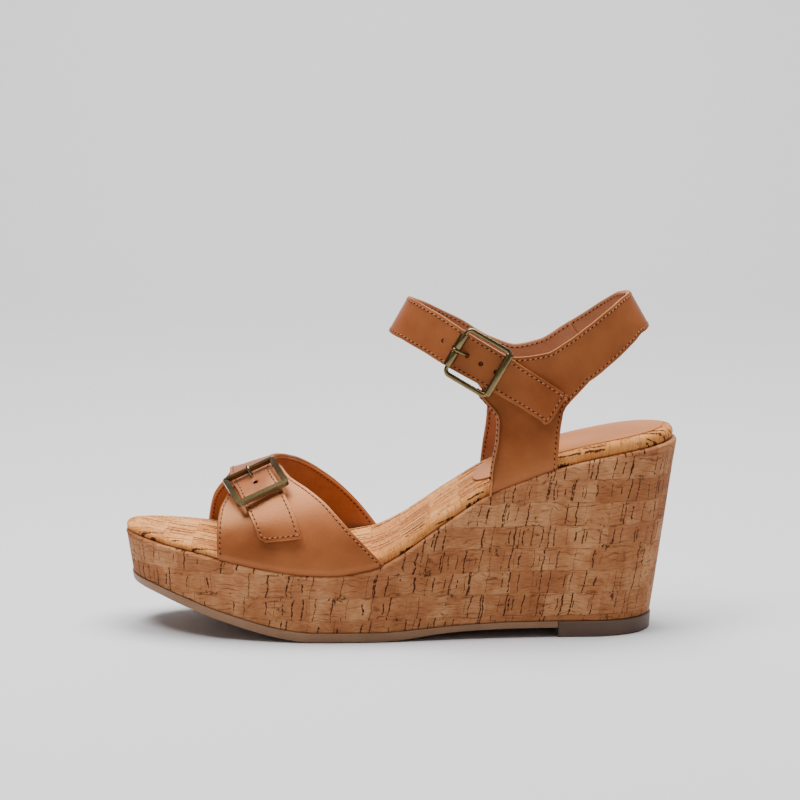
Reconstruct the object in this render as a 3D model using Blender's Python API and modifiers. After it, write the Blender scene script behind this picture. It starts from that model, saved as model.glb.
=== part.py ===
"""Platform sandal, left shoe: a cork wedge, a buckled toe band and a buckled ankle strap.

Metres, +Z up. The toe points to -X and the heel to +X. The outer side, with both buckles, faces -Y.
The shoe stands on Z = 0, and the origin is at the bottom centre of the whole shoe.
"""
import math

import bmesh
import bpy
from mathutils import Matrix, Vector

MM = 0.001

# Whole shoe
SHOE_LENGTH = 245 * MM
BALL_WIDTH = 89 * MM
SEAT_GAP = 0.3 * MM
# Straps over the wedge's faceted edge and over each other need a little more
STRAP_SEAT = 0.5 * MM
LAP_GAP = 0.45 * MM

# Cork wedge: heights are those of its top edge, the feather line, above the floor
PLATFORM_HEIGHT = 29.7 * MM
HEEL_RISE = 55.7 * MM
TOE_RISE = 13.5 * MM
TOE_SPRING = 19.6 * MM
TOE_UNDERCUT = 3 * MM
HEEL_LEAN = 11.2 * MM
SIDE_TAPER = 2.5 * MM
TOE_ROUND = 39 * MM
HEEL_ROUND = 32 * MM
# Powers of the superellipses that round the ends: 2 is a plain ellipse
TOE_FULLNESS = 2.4
HEEL_FULLNESS = 2.2
WEDGE_EDGE_ROUND = 0.6 * MM

# Rubber under the wedge
OUTSOLE_THICKNESS = 4.2 * MM
SHANK_THICKNESS = 3 * MM
OUTSOLE_PROUD = 0.4 * MM
LIFT_THICKNESS = 7 * MM
LIFT_LENGTH = 42 * MM

# Cork footbed and leather heel sock
FOOTBED_THICKNESS = 5.8 * MM
TOE_PAD_THICKNESS = 3.4 * MM
SOCK_THICKNESS = 0.8 * MM
SOCK_LENGTH = 84 * MM
SOCK_MARGIN = 4.5 * MM
SOCK_TIP_ROUND = 20 * MM
SOCK_TIP_FULLNESS = 2.3

# Leather of both straps
WALL = 2 * MM
STRAP_WIDTH = 18 * MM
HOLE_DIAMETER = 2 * MM
HOLE_PITCH = 6.6 * MM

# Toe band
BAND_HEIGHT = 45 * MM
CREST_SHIFT = 4 * MM
# Angles round the foot from the crest, in degrees: the buckle's middle, the holes, and where the
# inner panel's strap starts to climb onto the outer panel and how far the climb takes
VAMP_BUCKLE_ROUND = -35.5
VAMP_HOLE_ROUNDS = (-21.5, -34)
VAMP_CLIMB_ROUND = 14
VAMP_CLIMB_SPAN = 22
# The end of the vamp tab slants, and its front corner is bevelled, in degrees round the foot
VAMP_TAB_SLANT = 4
VAMP_TAB_BEVEL = 4
VAMP_TAB_BEVEL_SHARE = 0.28

# Ankle strap: a loop on a leg that widens downwards
ANKLE_CENTRE = 53.2 * MM
ANKLE_REACH = 57.2 * MM
ANKLE_HALF_WIDTH = 28 * MM
ANKLE_FLARE = 0.57
SADDLE_HEIGHT = 114 * MM
SADDLE_RISE = 28 * MM
STAY_BLEND = 118 * MM
# Turns round the leg, in degrees from the heel: where the prong enters the strap, where the strap
# starts to climb onto the outer quarter and how far the climb takes, and the seam on the inner side
BUCKLE_TURN = 247.6
CLIMB_TURN = 226
CLIMB_SPAN = 20
SEAM_TURN = 69.2
SEAM_SLIT = 0.75
# Turns between which the stays hang from their straps
MEDIAL_HANG = (73.0, 106.0)
LATERAL_HANG = (68.5, 104.0)
STAY_FLARE = 1.8
# Slanted end of the ankle tab, with a round lower corner
TAB_SLANT = 0.22
TAB_CORNER = 5.5 * MM
TAB_TIP = 0.8 * MM
TAB_SHARE = 0.07

# Buckles
FRAME_BAR = 2.4 * MM
VAMP_FRAME_LENGTH = 18.5 * MM
VAMP_FRAME_CORNER = 2.6 * MM
ANKLE_FRAME_LENGTH = 21.5 * MM
ANKLE_FRAME_CORNER = 4 * MM
FRAME_CLEARANCE = 1 * MM
ROLLER_DIAMETER = 3.9 * MM
ROLLER_WALL = 0.45 * MM
PRONG_WIRE = 1.6 * MM
PRONG_REACH = 5.4 * MM
PRONG_DIP = 0.5 * MM
VAMP_PRONG_REACH = 4 * MM

# Elastic gore behind the ankle buckle
GORE_THICKNESS = 1.2 * MM
GORE_WIDTH = 16 * MM
GORE_TURNS = (238.0, 264.0)

# Mesh steps
STATIONS = 44
BAND_ROWS = 6
STAY_ROWS = 8
STAY_CROWDING = 1.7
ANKLE_COLUMNS = 66
QUARTER_COLUMNS = 54

# The plan outline. along: share of the shoe's length from the toe.
# The rest are shares of the ball width: the middle line's swing inwards, and the half widths.
OUTLINE = (
    # along, swing, lateral, medial
    (0.00, 0.100, 0.350, 0.280),
    (0.10, 0.067, 0.410, 0.360),
    (0.20, 0.034, 0.466, 0.444),
    (0.36, 0.000, 0.500, 0.500),
    (0.45, 0.000, 0.494, 0.472),
    (0.55, 0.000, 0.455, 0.421),
    (0.65, 0.000, 0.410, 0.388),
    (0.75, 0.000, 0.376, 0.365),
    (0.85, 0.000, 0.354, 0.354),
    (1.00, 0.000, 0.343, 0.343),
)

# Height of the feather line. toe: share of the toe rise. heel: share of the heel rise.
FEATHER = (
    # along, toe, heel
    (0.000, 1.000, 0.000),
    (0.080, 0.760, 0.000),
    (0.145, 0.570, 0.000),
    (0.186, 0.410, 0.000),
    (0.251, 0.190, 0.000),
    (0.316, 0.045, 0.000),
    (0.375, 0.000, 0.000),
    (0.447, 0.000, 0.045),
    (0.500, 0.000, 0.155),
    (0.533, 0.000, 0.253),
    (0.586, 0.000, 0.415),
    (0.661, 0.000, 0.620),
    (0.720, 0.000, 0.720),
    (0.778, 0.000, 0.808),
    (0.892, 0.000, 0.921),
    (1.000, 0.000, 1.000),
)

# Underside of the wedge. spring: share of the toe spring. shank: share of the step up to the heel.
UNDERSIDE = (
    # along, spring, shank
    (0.010, 1.000, 0.000),
    (0.063, 0.862, 0.000),
    (0.116, 0.663, 0.000),
    (0.169, 0.454, 0.000),
    (0.218, 0.281, 0.000),
    (0.265, 0.133, 0.000),
    (0.310, 0.035, 0.000),
    (0.345, 0.000, 0.000),
    (0.459, 0.000, 0.000),
    (0.500, 0.000, 0.100),
    (0.557, 0.000, 0.480),
    (0.635, 0.000, 0.860),
    (0.712, 0.000, 1.000),
    (1.000, 0.000, 1.000),
)

# How the outsole thins out towards the shank. thick: share between shank and forepart thickness.
OUTSOLE_THIN = (
    # along, thick
    (0.00, 0.30),
    (0.10, 0.80),
    (0.25, 1.00),
    (0.47, 1.00),
    (0.60, 0.00),
    (1.00, 0.00),
)

# How the footbed thickens from the toe to the ball. full: share between toe and full thickness.
FOOTBED_SWELL = (
    # along, full
    (0.00, 0.00),
    (0.16, 0.10),
    (0.25, 0.50),
    (0.36, 0.90),
    (0.43, 1.00),
    (1.00, 1.00),
)

# Crest of the toe band over the feather line. rise: share of the band height.
CREST = (
    # along, rise
    (0.10, 0.56),
    (0.16, 0.67),
    (0.20, 0.75),
    (0.24, 0.86),
    (0.28, 0.955),
    (0.32, 1.00),
    (0.36, 1.03),
    (0.50, 1.05),
)

# Edges of the outer vamp panel. round: angle round the foot, -90 at the outer feather line and
# 0 at the crest. front and rear: shares of the shoe's length from the toe.
VAMP_LATERAL = (
    # round, front, rear
    (-90, 0.1765, 0.4736),
    (-78, 0.1755, 0.4430),
    (-65, 0.1755, 0.4080),
    (-50, 0.1790, 0.3690),
    (-40, 0.1870, 0.3370),
    (-28, 0.1980, 0.3010),
    (-14, 0.2070, 0.2830),
)

# Edges of the inner vamp panel and of its strap tab, which ends on the outer panel.
VAMP_MEDIAL = (
    # round, front, rear
    (90, 0.1400, 0.4680),
    (75, 0.1440, 0.4370),
    (60, 0.1510, 0.4030),
    (50, 0.1600, 0.3780),
    (40, 0.1720, 0.3510),
    (24, 0.1850, 0.3180),
    (8, 0.1910, 0.2960),
    (-8, 0.1930, 0.2720),
    (-23, 0.1980, 0.2710),
    (-41, 0.2160, 0.2910),
    (-56, 0.2315, 0.3095),
    (-71, 0.2490, 0.3245),
)

# Middle line of the ankle strap. turn: degrees round the leg, 90 at the inner side, 180 in front
# and 270 at the outer side. rise: share of the saddle rise over the saddle height.
# width: share of the strap width.
ANKLE_LINE = (
    # turn, rise, width
    (66.0, 0.3245, 1.12),
    (79.4, 0.050, 1.12),
    (91.0, -0.040, 1.10),
    (103.0, 0.110, 1.06),
    (121.7, 0.480, 1.00),
    (152.0, 0.800, 1.00),
    (180.0, 0.910, 1.00),
    (203.0, 0.860, 1.00),
    (221.9, 0.725, 1.00),
    (239.1, 0.500, 1.00),
    (259.6, 0.118, 1.00),
    (271.0, -0.168, 1.00),
    (281.5, -0.450, 1.00),
)

# Middle line of the outer quarter, from the seam on the inner side round the heel to the front.
QUARTER_LINE = (
    # turn, rise, width
    (-72.0, 0.2015, 1.12),
    (-56.6, 0.512, 1.08),
    (-40.0, 0.785, 1.02),
    (-24.0, 0.940, 1.00),
    (0.0, 1.000, 1.00),
    (24.0, 0.930, 1.00),
    (40.0, 0.765, 1.05),
    (56.6, 0.490, 1.10),
    (67.1, 0.270, 1.12),
    (79.4, 0.045, 1.10),
    (91.0, -0.010, 1.06),
    (99.0, 0.020, 1.04),
    (104.0, 0.080, 1.04),
)

# Edges of a stay, from the feather line up to its strap. up: share of that height.
# front and rear: shares of the shoe's length from the toe.
STAY_LATERAL = (
    # up, front, rear
    (0.00, 0.661, 0.778),
    (0.32, 0.668, 0.781),
    (0.55, 0.676, 0.784),
    (0.76, 0.678, 0.789),
)
STAY_MEDIAL = (
    # up, front, rear
    (0.00, 0.647, 0.764),
    (0.32, 0.653, 0.766),
    (0.55, 0.659, 0.769),
    (0.76, 0.661, 0.773),
)

COLOURS = {
    # name: colour, roughness, metallic
    "cork_wedge": ((0.42, 0.24, 0.12), 0.75, 0.0),
    "cork_footbed": ((0.62, 0.40, 0.24), 0.75, 0.0),
    "tan_leather": ((0.45, 0.17, 0.06), 0.45, 0.0),
    "sock_leather": ((0.50, 0.25, 0.14), 0.55, 0.0),
    "brown_rubber": ((0.14, 0.09, 0.05), 0.70, 0.0),
    "antique_brass": ((0.30, 0.22, 0.10), 0.35, 1.0),
    "elastic": ((0.50, 0.27, 0.19), 0.80, 0.0),
}


def smooth(rows, place, column):
    """Read one column of a table at a place along it, with a monotone cubic between its rows."""
    if rows[0][0] > rows[-1][0]:
        rows = rows[::-1]
    xs = [row[0] for row in rows]
    ys = [row[column] for row in rows]
    if place <= xs[0]:
        return ys[0]
    if place >= xs[-1]:
        return ys[-1]
    slopes = [(ys[i + 1] - ys[i]) / (xs[i + 1] - xs[i]) for i in range(len(xs) - 1)]
    tangents = [slopes[0]]
    for before, after in zip(slopes, slopes[1:]):
        level = before * after <= 0
        tangents.append(0.0 if level else 2 * before * after / (before + after))
    tangents.append(slopes[-1])
    i = max(k for k in range(len(xs) - 1) if xs[k] <= place)
    step = xs[i + 1] - xs[i]
    t = (place - xs[i]) / step
    return ((1 + 2 * t) * (1 - t) ** 2 * ys[i] + t * (1 - t) ** 2 * step * tangents[i]
            + t * t * (3 - 2 * t) * ys[i + 1] + t * t * (t - 1) * step * tangents[i + 1])


def ease(share):
    """Smooth step from 0 to 1."""
    share = min(max(share, 0.0), 1.0)
    return share * share * (3 - 2 * share)


def mix(a, b, share):
    return a + (b - a) * share


def share_of_length(x):
    return (x + SHOE_LENGTH / 2) / SHOE_LENGTH


def place_on_length(share):
    return share * SHOE_LENGTH - SHOE_LENGTH / 2


def feather_height(x):
    """Height of the wedge's top edge."""
    along = share_of_length(x)
    return PLATFORM_HEIGHT + smooth(FEATHER, along, 1) * TOE_RISE + smooth(FEATHER, along, 2) * HEEL_RISE


def underside_height(x):
    """Height of the wedge's underside."""
    along = share_of_length(x)
    rest = OUTSOLE_THICKNESS + SEAT_GAP
    return (rest + smooth(UNDERSIDE, along, 1) * TOE_SPRING
            + smooth(UNDERSIDE, along, 2) * (LIFT_THICKNESS - OUTSOLE_THICKNESS))


def footbed_thickness(x):
    full = smooth(FOOTBED_SWELL, share_of_length(x), 1)
    return mix(TOE_PAD_THICKNESS, FOOTBED_THICKNESS, full)


def footbed_top(x):
    return feather_height(x) + SEAT_GAP + footbed_thickness(x)


def rounding(share, fullness):
    """Width of a superellipse's quarter, from 0 at its tip to 1."""
    return max(1 - (1 - share) ** fullness, 0.0) ** (1 / fullness)


def end_rounding(along):
    """Share of the full width that the rounded toe and heel leave at a place along the shoe."""
    toe = min(along * SHOE_LENGTH / TOE_ROUND, 1.0)
    heel = min((1 - along) * SHOE_LENGTH / HEEL_ROUND, 1.0)
    return rounding(toe, TOE_FULLNESS) * rounding(heel, HEEL_FULLNESS)


def side_width(along, side):
    """Y of the feather line at one side: -1 for lateral, 1 for medial."""
    swing = smooth(OUTLINE, along, 1) * BALL_WIDTH
    half = smooth(OUTLINE, along, 2 if side < 0 else 3) * BALL_WIDTH
    return swing + side * half * end_rounding(along)


def spaced(count, start=0.0, end=1.0):
    """Shares from start to end that crowd towards the rounded toe and heel."""
    first = math.acos(1 - 2 * start)
    last = math.acos(1 - 2 * end)
    return [(1 - math.cos(mix(first, last, i / count))) / 2 for i in range(count + 1)]


def plan_pairs(shares, level=1.0, inset=0.0):
    """Pairs of lateral and medial plan points, at a level from underside to feather line."""
    start = mix(-SHOE_LENGTH / 2 + TOE_UNDERCUT, -SHOE_LENGTH / 2, level)
    end = mix(SHOE_LENGTH / 2 - HEEL_LEAN, SHOE_LENGTH / 2, level)
    taper = SIDE_TAPER * (1 - level)

    def point(share, side):
        share = min(max(share, 0.0), 1.0)
        y = side_width(share, side)
        middle = smooth(OUTLINE, share, 1) * BALL_WIDTH
        narrow = min(taper, abs(y - middle))
        return Vector((mix(start, end, share), y - side * narrow * end_rounding(share), 0))

    pairs = []
    for share in shares:
        pair = []
        for side in (-1, 1):
            at = point(share, side)
            # Across a rounded tip the outline turns through a right angle
            if share <= 0.0:
                inwards = Vector((1, 0, 0))
            elif share >= 1.0:
                inwards = Vector((-1, 0, 0))
            else:
                reach = 0.3 * min(share, 1 - share, 0.01)
                tangent = point(share + reach, side) - point(share - reach, side)
                inwards = Vector((tangent.y, -tangent.x, 0)).normalized() * side
            pair.append(at + inwards * inset)
        pairs.append(pair)
    return pairs


def raised(pairs, height):
    """The same pairs with their height worked out from each point's place along the shoe."""
    return [[Vector((p.x, p.y, height(p.x))) for p in pair] for pair in pairs]


def new_object(name, mesh, finish, collection):
    obj = bpy.data.objects.new(name, mesh)
    collection.objects.link(obj)
    if finish:
        mesh.materials.append(material(finish))
    return obj


def material(name):
    """One Principled material for each finish."""
    found = bpy.data.materials.get(name)
    if found:
        return found
    colour, roughness, metallic = COLOURS[name]
    made = bpy.data.materials.new(name)
    made.use_nodes = True
    shader = made.node_tree.nodes["Principled BSDF"]
    shader.inputs["Base Color"].default_value = (*colour, 1)
    shader.inputs["Roughness"].default_value = roughness
    shader.inputs["Metallic"].default_value = metallic
    return made


def finish_mesh(bm, name, sharp=35):
    """Write a closed bmesh to a mesh, its faces pointing out and its round parts smooth."""
    bmesh.ops.remove_doubles(bm, verts=bm.verts, dist=1e-7)
    bmesh.ops.recalc_face_normals(bm, faces=bm.faces)
    mesh = bpy.data.meshes.new(name)
    bm.to_mesh(mesh)
    bm.free()
    mesh.shade_smooth()
    mesh.set_sharp_from_angle(angle=math.radians(sharp))
    return mesh


def paired_solid(name, levels, finish, collection):
    """A solid lofted through levels, each a list of lateral and medial points in pairs."""
    bm = bmesh.new()
    rows = [[[bm.verts.new(p) for p in pair] for pair in level] for level in levels]
    count = len(levels[0])
    for low, high in zip(rows, rows[1:]):
        for i in range(count - 1):
            for side in (0, 1):
                bm.faces.new((low[i][side], low[i + 1][side], high[i + 1][side], high[i][side]))
        for i in (0, count - 1):
            bm.faces.new((low[i][0], low[i][1], high[i][1], high[i][0]))
    for row in (rows[0], rows[-1]):
        for i in range(count - 1):
            bm.faces.new((row[i][0], row[i + 1][0], row[i + 1][1], row[i][1]))
    return new_object(name, finish_mesh(bm, name), finish, collection)


def shell(name, grid, finish, collection, wall, outwards):
    """A strap piece: an open surface through a grid of outer points, with its wall inside."""
    bm = bmesh.new()
    rows = [[bm.verts.new(p) for p in row] for row in grid]
    for low, high in zip(rows, rows[1:]):
        for i in range(len(low) - 1):
            bm.faces.new((low[i], low[i + 1], high[i + 1], high[i]))
    return walled(name, bm, finish, collection, wall, outwards)


def walled(name, bm, finish, collection, wall, outwards):
    """Turn a surface's faces away from the foot, as outwards gives it, and thicken it inwards."""
    bmesh.ops.remove_doubles(bm, verts=bm.verts, dist=1e-7)
    bmesh.ops.recalc_face_normals(bm, faces=bm.faces)
    bm.normal_update()
    turned = sum(face.normal.dot(outwards(face.calc_center_median())) for face in bm.faces)
    if turned < 0:
        bmesh.ops.reverse_faces(bm, faces=bm.faces)
    mesh = bpy.data.meshes.new(name)
    bm.to_mesh(mesh)
    bm.free()
    mesh.shade_smooth()
    obj = new_object(name, mesh, finish, collection)
    solid = obj.modifiers.new("wall", "SOLIDIFY")
    solid.thickness = wall
    solid.offset = -1
    return obj


def normal_at(surface, u, v, du, dv):
    """Unit normal of a surface function by small steps."""
    across_u = surface(u + du, v) - surface(u - du, v)
    across_v = surface(u, v + dv) - surface(u, v - dv)
    return across_u.cross(across_v).normalized()


def vamp_skin(degrees, x, out=0.0):
    """A point on the toe band's outer surface: an arch over the forefoot at one place along it."""
    def skin(angle, at):
        turn = math.radians(angle)
        along = share_of_length(at)
        lateral = side_width(along, -1)
        medial = side_width(along, 1)
        y = (mix(lateral, medial, (1 + math.sin(turn)) / 2)
             + CREST_SHIFT * math.cos(turn) ** 2)
        rise = smooth(CREST, along, 1) * BAND_HEIGHT
        return Vector((at, y, feather_height(at) + STRAP_SEAT + rise * math.cos(turn)))

    point = skin(degrees, x)
    if not out:
        return point
    normal = normal_at(skin, degrees, x, 0.5, 0.5 * MM)
    return point + (normal if normal.dot(Vector((0, point.y, 0.05))) > 0 else -normal) * out


def leg_reach(z):
    """Half length of the leg's plan section at a height."""
    middle = SADDLE_HEIGHT + 0.7 * SADDLE_RISE
    return ANKLE_REACH + ANKLE_FLARE * (middle - z)


def ankle_skin(degrees, z, out=0.0):
    """A point on the ankle's outer surface. 0 is the heel, 90 the inner side, 180 the front."""
    def skin(angle, height):
        turn = math.radians(angle)
        x = ANKLE_CENTRE + leg_reach(height) * math.cos(turn)
        side = 1 if math.sin(turn) > 0 else -1
        sole_y = side_width(share_of_length(x), side)
        foot = feather_height(x)
        free = ease((height - foot) / (STAY_BLEND - foot))
        loop_y = ANKLE_HALF_WIDTH * math.sin(turn)
        return Vector((x, mix(sole_y, loop_y, free), height))

    point = skin(degrees, z)
    if not out:
        return point
    normal = normal_at(skin, degrees, z, 0.5, 0.5 * MM)
    away = Vector((math.cos(math.radians(degrees)), math.sin(math.radians(degrees)), 0))
    return point + (normal if normal.dot(away) > 0 else -normal) * out


def turn_of(x, z, side):
    """Degrees round the leg of a point given from the side."""
    share = min(max((x - ANKLE_CENTRE) / leg_reach(z), -1.0), 1.0)
    return math.degrees(math.acos(share)) * side


def ankle_midline(rows, turn, side=1):
    """Middle of a strap at a turn round the leg."""
    height = SADDLE_HEIGHT + smooth(rows, turn, 1) * SADDLE_RISE
    return ankle_skin(turn * side, height)


def strip_frame(rows, turn, side=1):
    """Middle, direction along, direction across and up, and outward normal of an ankle strap."""
    middle = ankle_midline(rows, turn, side)
    along = (ankle_midline(rows, turn + 0.5, side) - ankle_midline(rows, turn - 0.5, side)).normalized()
    height = middle.z
    out = (ankle_skin(turn * side, height, MM) - middle).normalized()
    across = out.cross(along).normalized()
    if across.z < 0:
        across = -across
    return middle, along, across, out


def strip_point(rows, turn, offset, out, side=1, slide=0.0):
    """A point across a strap, put back on the leg's surface and moved outwards."""
    middle, along, across, _ = strip_frame(rows, turn, side)
    point = middle + across * offset + along * slide
    reach = leg_reach(point.z)
    angle = math.degrees(math.atan2(point.y / ANKLE_HALF_WIDTH, (point.x - ANKLE_CENTRE) / reach))
    return ankle_skin(angle, point.z, out)


def tab_trim(offset, width, skew, low_round, high_round):
    """How far a tab's end stays back at an offset from its middle: a slant and round corners."""
    back = -skew * offset
    for corner, sign in ((low_round, -1), (high_round, 1)):
        past = sign * offset - (width / 2 - corner)
        if past > 0:
            back += corner - math.sqrt(max(corner ** 2 - past ** 2, 0.0))
    return back


def ankle_offset(turn):
    """How far the ankle strap lies outside the leg's surface: over the quarter past the buckle."""
    return (WALL + LAP_GAP) * ease((turn - CLIMB_TURN) / CLIMB_SPAN)


def leg_outwards(point):
    return Vector((point.x - ANKLE_CENTRE, point.y, 0))


def arch_outwards(point):
    return Vector((0, point.y, point.z - PLATFORM_HEIGHT))


def wedge(collection):
    """Cork wedge, lofted from its underside to the feather line."""
    shares = spaced(STATIONS)
    levels = []
    profile = (
        # level from the underside to the feather line, inset
        (0.00, WEDGE_EDGE_ROUND),
        (0.02, 0.0),
        (0.50, 0.0),
        (0.98, 0.0),
        (1.00, WEDGE_EDGE_ROUND),
    )
    for level, inset in profile:
        pairs = plan_pairs(shares, level, inset)
        base = raised(plan_pairs(shares, 0.0, inset), underside_height)
        top = raised(plan_pairs(shares, 1.0, inset), feather_height)
        levels.append([[Vector((p.x, p.y, mix(b.z, t.z, level))) for p, b, t in zip(pair, low, high)]
                       for pair, low, high in zip(pairs, base, top)])
    paired_solid("wedge", levels, "cork_wedge", collection)


def footbed(collection):
    """Cork-covered cushion insole with a rounded edge, set in from the wedge by the strap wall."""
    ledge = WALL + SEAT_GAP
    shares = spaced(STATIONS)
    profile = (
        # inset from the ledge, share of the thickness
        (1.2 * MM, 0.00),
        (0.3 * MM, 0.16),
        (0.0 * MM, 0.42),
        (0.6 * MM, 0.72),
        (1.9 * MM, 0.93),
        (3.8 * MM, 1.00),
    )
    levels = [raised(plan_pairs(shares, 1.0, ledge + inset),
                     lambda x, share=share: feather_height(x) + SEAT_GAP + footbed_thickness(x) * share)
              for inset, share in profile]
    paired_solid("footbed", levels, "cork_footbed", collection)


def heel_sock(collection):
    """Thin leather sock under the heel, with a tongue-shaped front."""
    back = SHOE_LENGTH / 2 - WALL - SEAT_GAP - SOCK_MARGIN
    front = back - SOCK_LENGTH
    margin = WALL + SEAT_GAP + SOCK_MARGIN
    pairs = []
    count = 30
    for i in range(count + 1):
        x = mix(front, back, (1 - math.cos(math.pi * i / count)) / 2)
        tip = min((x - front) / SOCK_TIP_ROUND, 1.0)
        heel = min((back - x) / (HEEL_ROUND - SOCK_MARGIN), 1.0)
        width = rounding(tip, SOCK_TIP_FULLNESS) * rounding(heel, HEEL_FULLNESS)
        along = min(share_of_length(x), 1 - HEEL_ROUND / SHOE_LENGTH)
        pairs.append([Vector((x, (side_width(along, side) - side * margin) * width, 0))
                      for side in (-1, 1)])
    low = raised(pairs, lambda x: footbed_top(x) + SEAT_GAP)
    high = raised(pairs, lambda x: footbed_top(x) + SEAT_GAP + SOCK_THICKNESS)
    paired_solid("heel_sock", [low, high], "sock_leather", collection)


def breast_share():
    """Share along the underside where the heel lift starts."""
    run = SHOE_LENGTH - TOE_UNDERCUT - HEEL_LEAN
    return 1 - LIFT_LENGTH / run


def outsole(collection):
    """Rubber sheet under the forepart and shank, up to the heel breast."""
    shares = spaced(STATIONS, 0.0, breast_share() - SEAT_GAP / SHOE_LENGTH)

    def top(x):
        return underside_height(x) - SEAT_GAP

    def bottom(x):
        thin = smooth(OUTSOLE_THIN, share_of_length(x), 1)
        return top(x) - mix(SHANK_THICKNESS, OUTSOLE_THICKNESS, thin)

    high = plan_pairs(shares, 0.0, -OUTSOLE_PROUD)
    low = plan_pairs(shares, 0.0, 0.0)
    paired_solid("outsole", [raised(low, bottom), raised(high, top)], "brown_rubber", collection)


def heel_lift(collection):
    """Flat rubber top piece under the heel."""
    shares = spaced(STATIONS // 2, breast_share(), 1.0)
    high = plan_pairs(shares, 0.0, -OUTSOLE_PROUD)
    low = plan_pairs(shares, 0.0, 0.0)
    levels = [raised(low, lambda x: 0.0), raised(high, lambda x: LIFT_THICKNESS)]
    paired_solid("heel_lift", levels, "brown_rubber", collection)


def vamp_grid(rows, start, end, columns, across, out, end_trim=None):
    """Grid of points between a panel's front and rear edges, from one angle round to another."""
    grid = []
    for j in range(across + 1):
        line = []
        for i in range(columns + 1):
            angle = mix(start, end, i / columns)
            front = place_on_length(smooth(rows, angle, 1))
            rear = place_on_length(smooth(rows, angle, 2))
            x = mix(front, rear, j / across)
            if end_trim:
                angle += end_trim(j / across) * ease((i / columns - 0.8) / 0.2)
            line.append(vamp_skin(angle, x, out(angle)))
        grid.append(line)
    return grid


def vamp_lateral(collection):
    """Outer vamp panel, from the feather line up under the buckle."""
    grid = vamp_grid(VAMP_LATERAL, VAMP_LATERAL[0][0], VAMP_LATERAL[-1][0], 14, 10, lambda angle: 0.0)
    shell("vamp_lateral", grid, "tan_leather", collection, WALL, arch_outwards)


def vamp_tab_out(angle):
    """The inner panel's tab climbs onto the outer panel as it comes over the crest."""
    return (WALL + LAP_GAP) * ease((VAMP_CLIMB_ROUND - angle) / VAMP_CLIMB_SPAN)


def vamp_medial(collection, cutters):
    """Inner vamp panel, with its strap over the crest and its tab through the buckle."""
    def trim(share):
        return VAMP_TAB_SLANT * share + VAMP_TAB_BEVEL * max(1 - share / VAMP_TAB_BEVEL_SHARE, 0.0)

    grid = vamp_grid(VAMP_MEDIAL, VAMP_MEDIAL[0][0], VAMP_MEDIAL[-1][0], 34, 8, vamp_tab_out, trim)
    obj = shell("vamp_medial", grid, "tan_leather", collection, WALL, arch_outwards)
    for i, angle in enumerate(VAMP_HOLE_ROUNDS):
        at, _, _, out = vamp_frame(angle)
        punch(obj, f"vamp_hole_{i + 1}", at, out, cutters)


def vamp_frame(angle):
    """Middle, direction down the tab, direction across to the rear, and outward normal."""
    def middle(at):
        front = place_on_length(smooth(VAMP_MEDIAL, at, 1))
        rear = place_on_length(smooth(VAMP_MEDIAL, at, 2))
        return vamp_skin(at, (front + rear) / 2, vamp_tab_out(at))

    point = middle(angle)
    down = (middle(angle - 1) - middle(angle + 1)).normalized()
    front = place_on_length(smooth(VAMP_MEDIAL, angle, 1))
    rear = place_on_length(smooth(VAMP_MEDIAL, angle, 2))
    across = (vamp_skin(angle, rear) - vamp_skin(angle, front)).normalized()
    out = down.cross(across).normalized()
    if out.z < 0:
        out = -out
    across = out.cross(down).normalized()
    if across.x < 0:
        across = -across
    return point, down, across, out


def punch(obj, name, at, out, cutters):
    """Cut one round hole through a strap."""
    bpy.ops.mesh.primitive_cylinder_add(vertices=12, radius=HOLE_DIAMETER / 2, depth=4 * WALL, location=at)
    cutter = bpy.context.object
    cutter.name = name
    cutter.rotation_mode = "QUATERNION"
    cutter.rotation_quaternion = out.to_track_quat("Z", "Y")
    move_to(cutter, cutters)
    cut = obj.modifiers.new(name, "BOOLEAN")
    cut.operation = "DIFFERENCE"
    cut.object = cutter


def move_to(obj, collection):
    for held in list(obj.users_collection):
        held.objects.unlink(obj)
    collection.objects.link(obj)
    obj.hide_render = True
    obj.display_type = "WIRE"


def strap_and_stay(name, line, turns, columns, hang, out, trim, stay, side, collection):
    """A strap round the leg with its stay down to the feather line, as one leather piece.

    turns: first and last turn of the strap. hang: turns between which the stay hangs from it.
    side: 1 where turns count from the inner side, -1 where they count from the outer side.
    """
    bm = bmesh.new()
    band = []
    for j in range(BAND_ROWS + 1):
        row = []
        for i in range(columns + 1):
            turn = mix(turns[0], turns[1], i / columns)
            offset = (j / BAND_ROWS - 0.5) * STRAP_WIDTH * smooth(line, turn, 2)
            slide = 0.0
            if trim:
                slide = -trim(offset) * ease((i / columns - 1 + TAB_SHARE) / TAB_SHARE)
            row.append(bm.verts.new(strip_point(line, turn, offset, out(turn), side, slide)))
        band.append(row)
    for low, high in zip(band, band[1:]):
        for i in range(columns):
            bm.faces.new((low[i], low[i + 1], high[i + 1], high[i]))
    first, last = [round((turn - turns[0]) / (turns[1] - turns[0]) * columns) for turn in hang]
    hanging = band[0][first:last + 1]
    top_rear, top_front = hanging[0].co, hanging[-1].co
    rows = [hanging]
    for k in range(1, STAY_ROWS + 1):
        # The rows crowd to the top, where the stay flares into the strap
        up = 1 - (k / STAY_ROWS) ** STAY_CROWDING
        front = stay_edge(stay, up, 1, top_front.x)
        rear = stay_edge(stay, up, 2, top_rear.x)
        row = []
        for i, top in enumerate(hanging):
            x = mix(rear, front, i / (last - first))
            z = mix(feather_height(x) + STRAP_SEAT, top.co.z, up)
            row.append(bm.verts.new(ankle_skin(turn_of(x, z, side), z)))
        rows.append(row)
    for low, high in zip(rows, rows[1:]):
        for i in range(last - first):
            bm.faces.new((low[i], low[i + 1], high[i + 1], high[i]))
    return walled(name, bm, "tan_leather", collection, WALL, leg_outwards)


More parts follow.
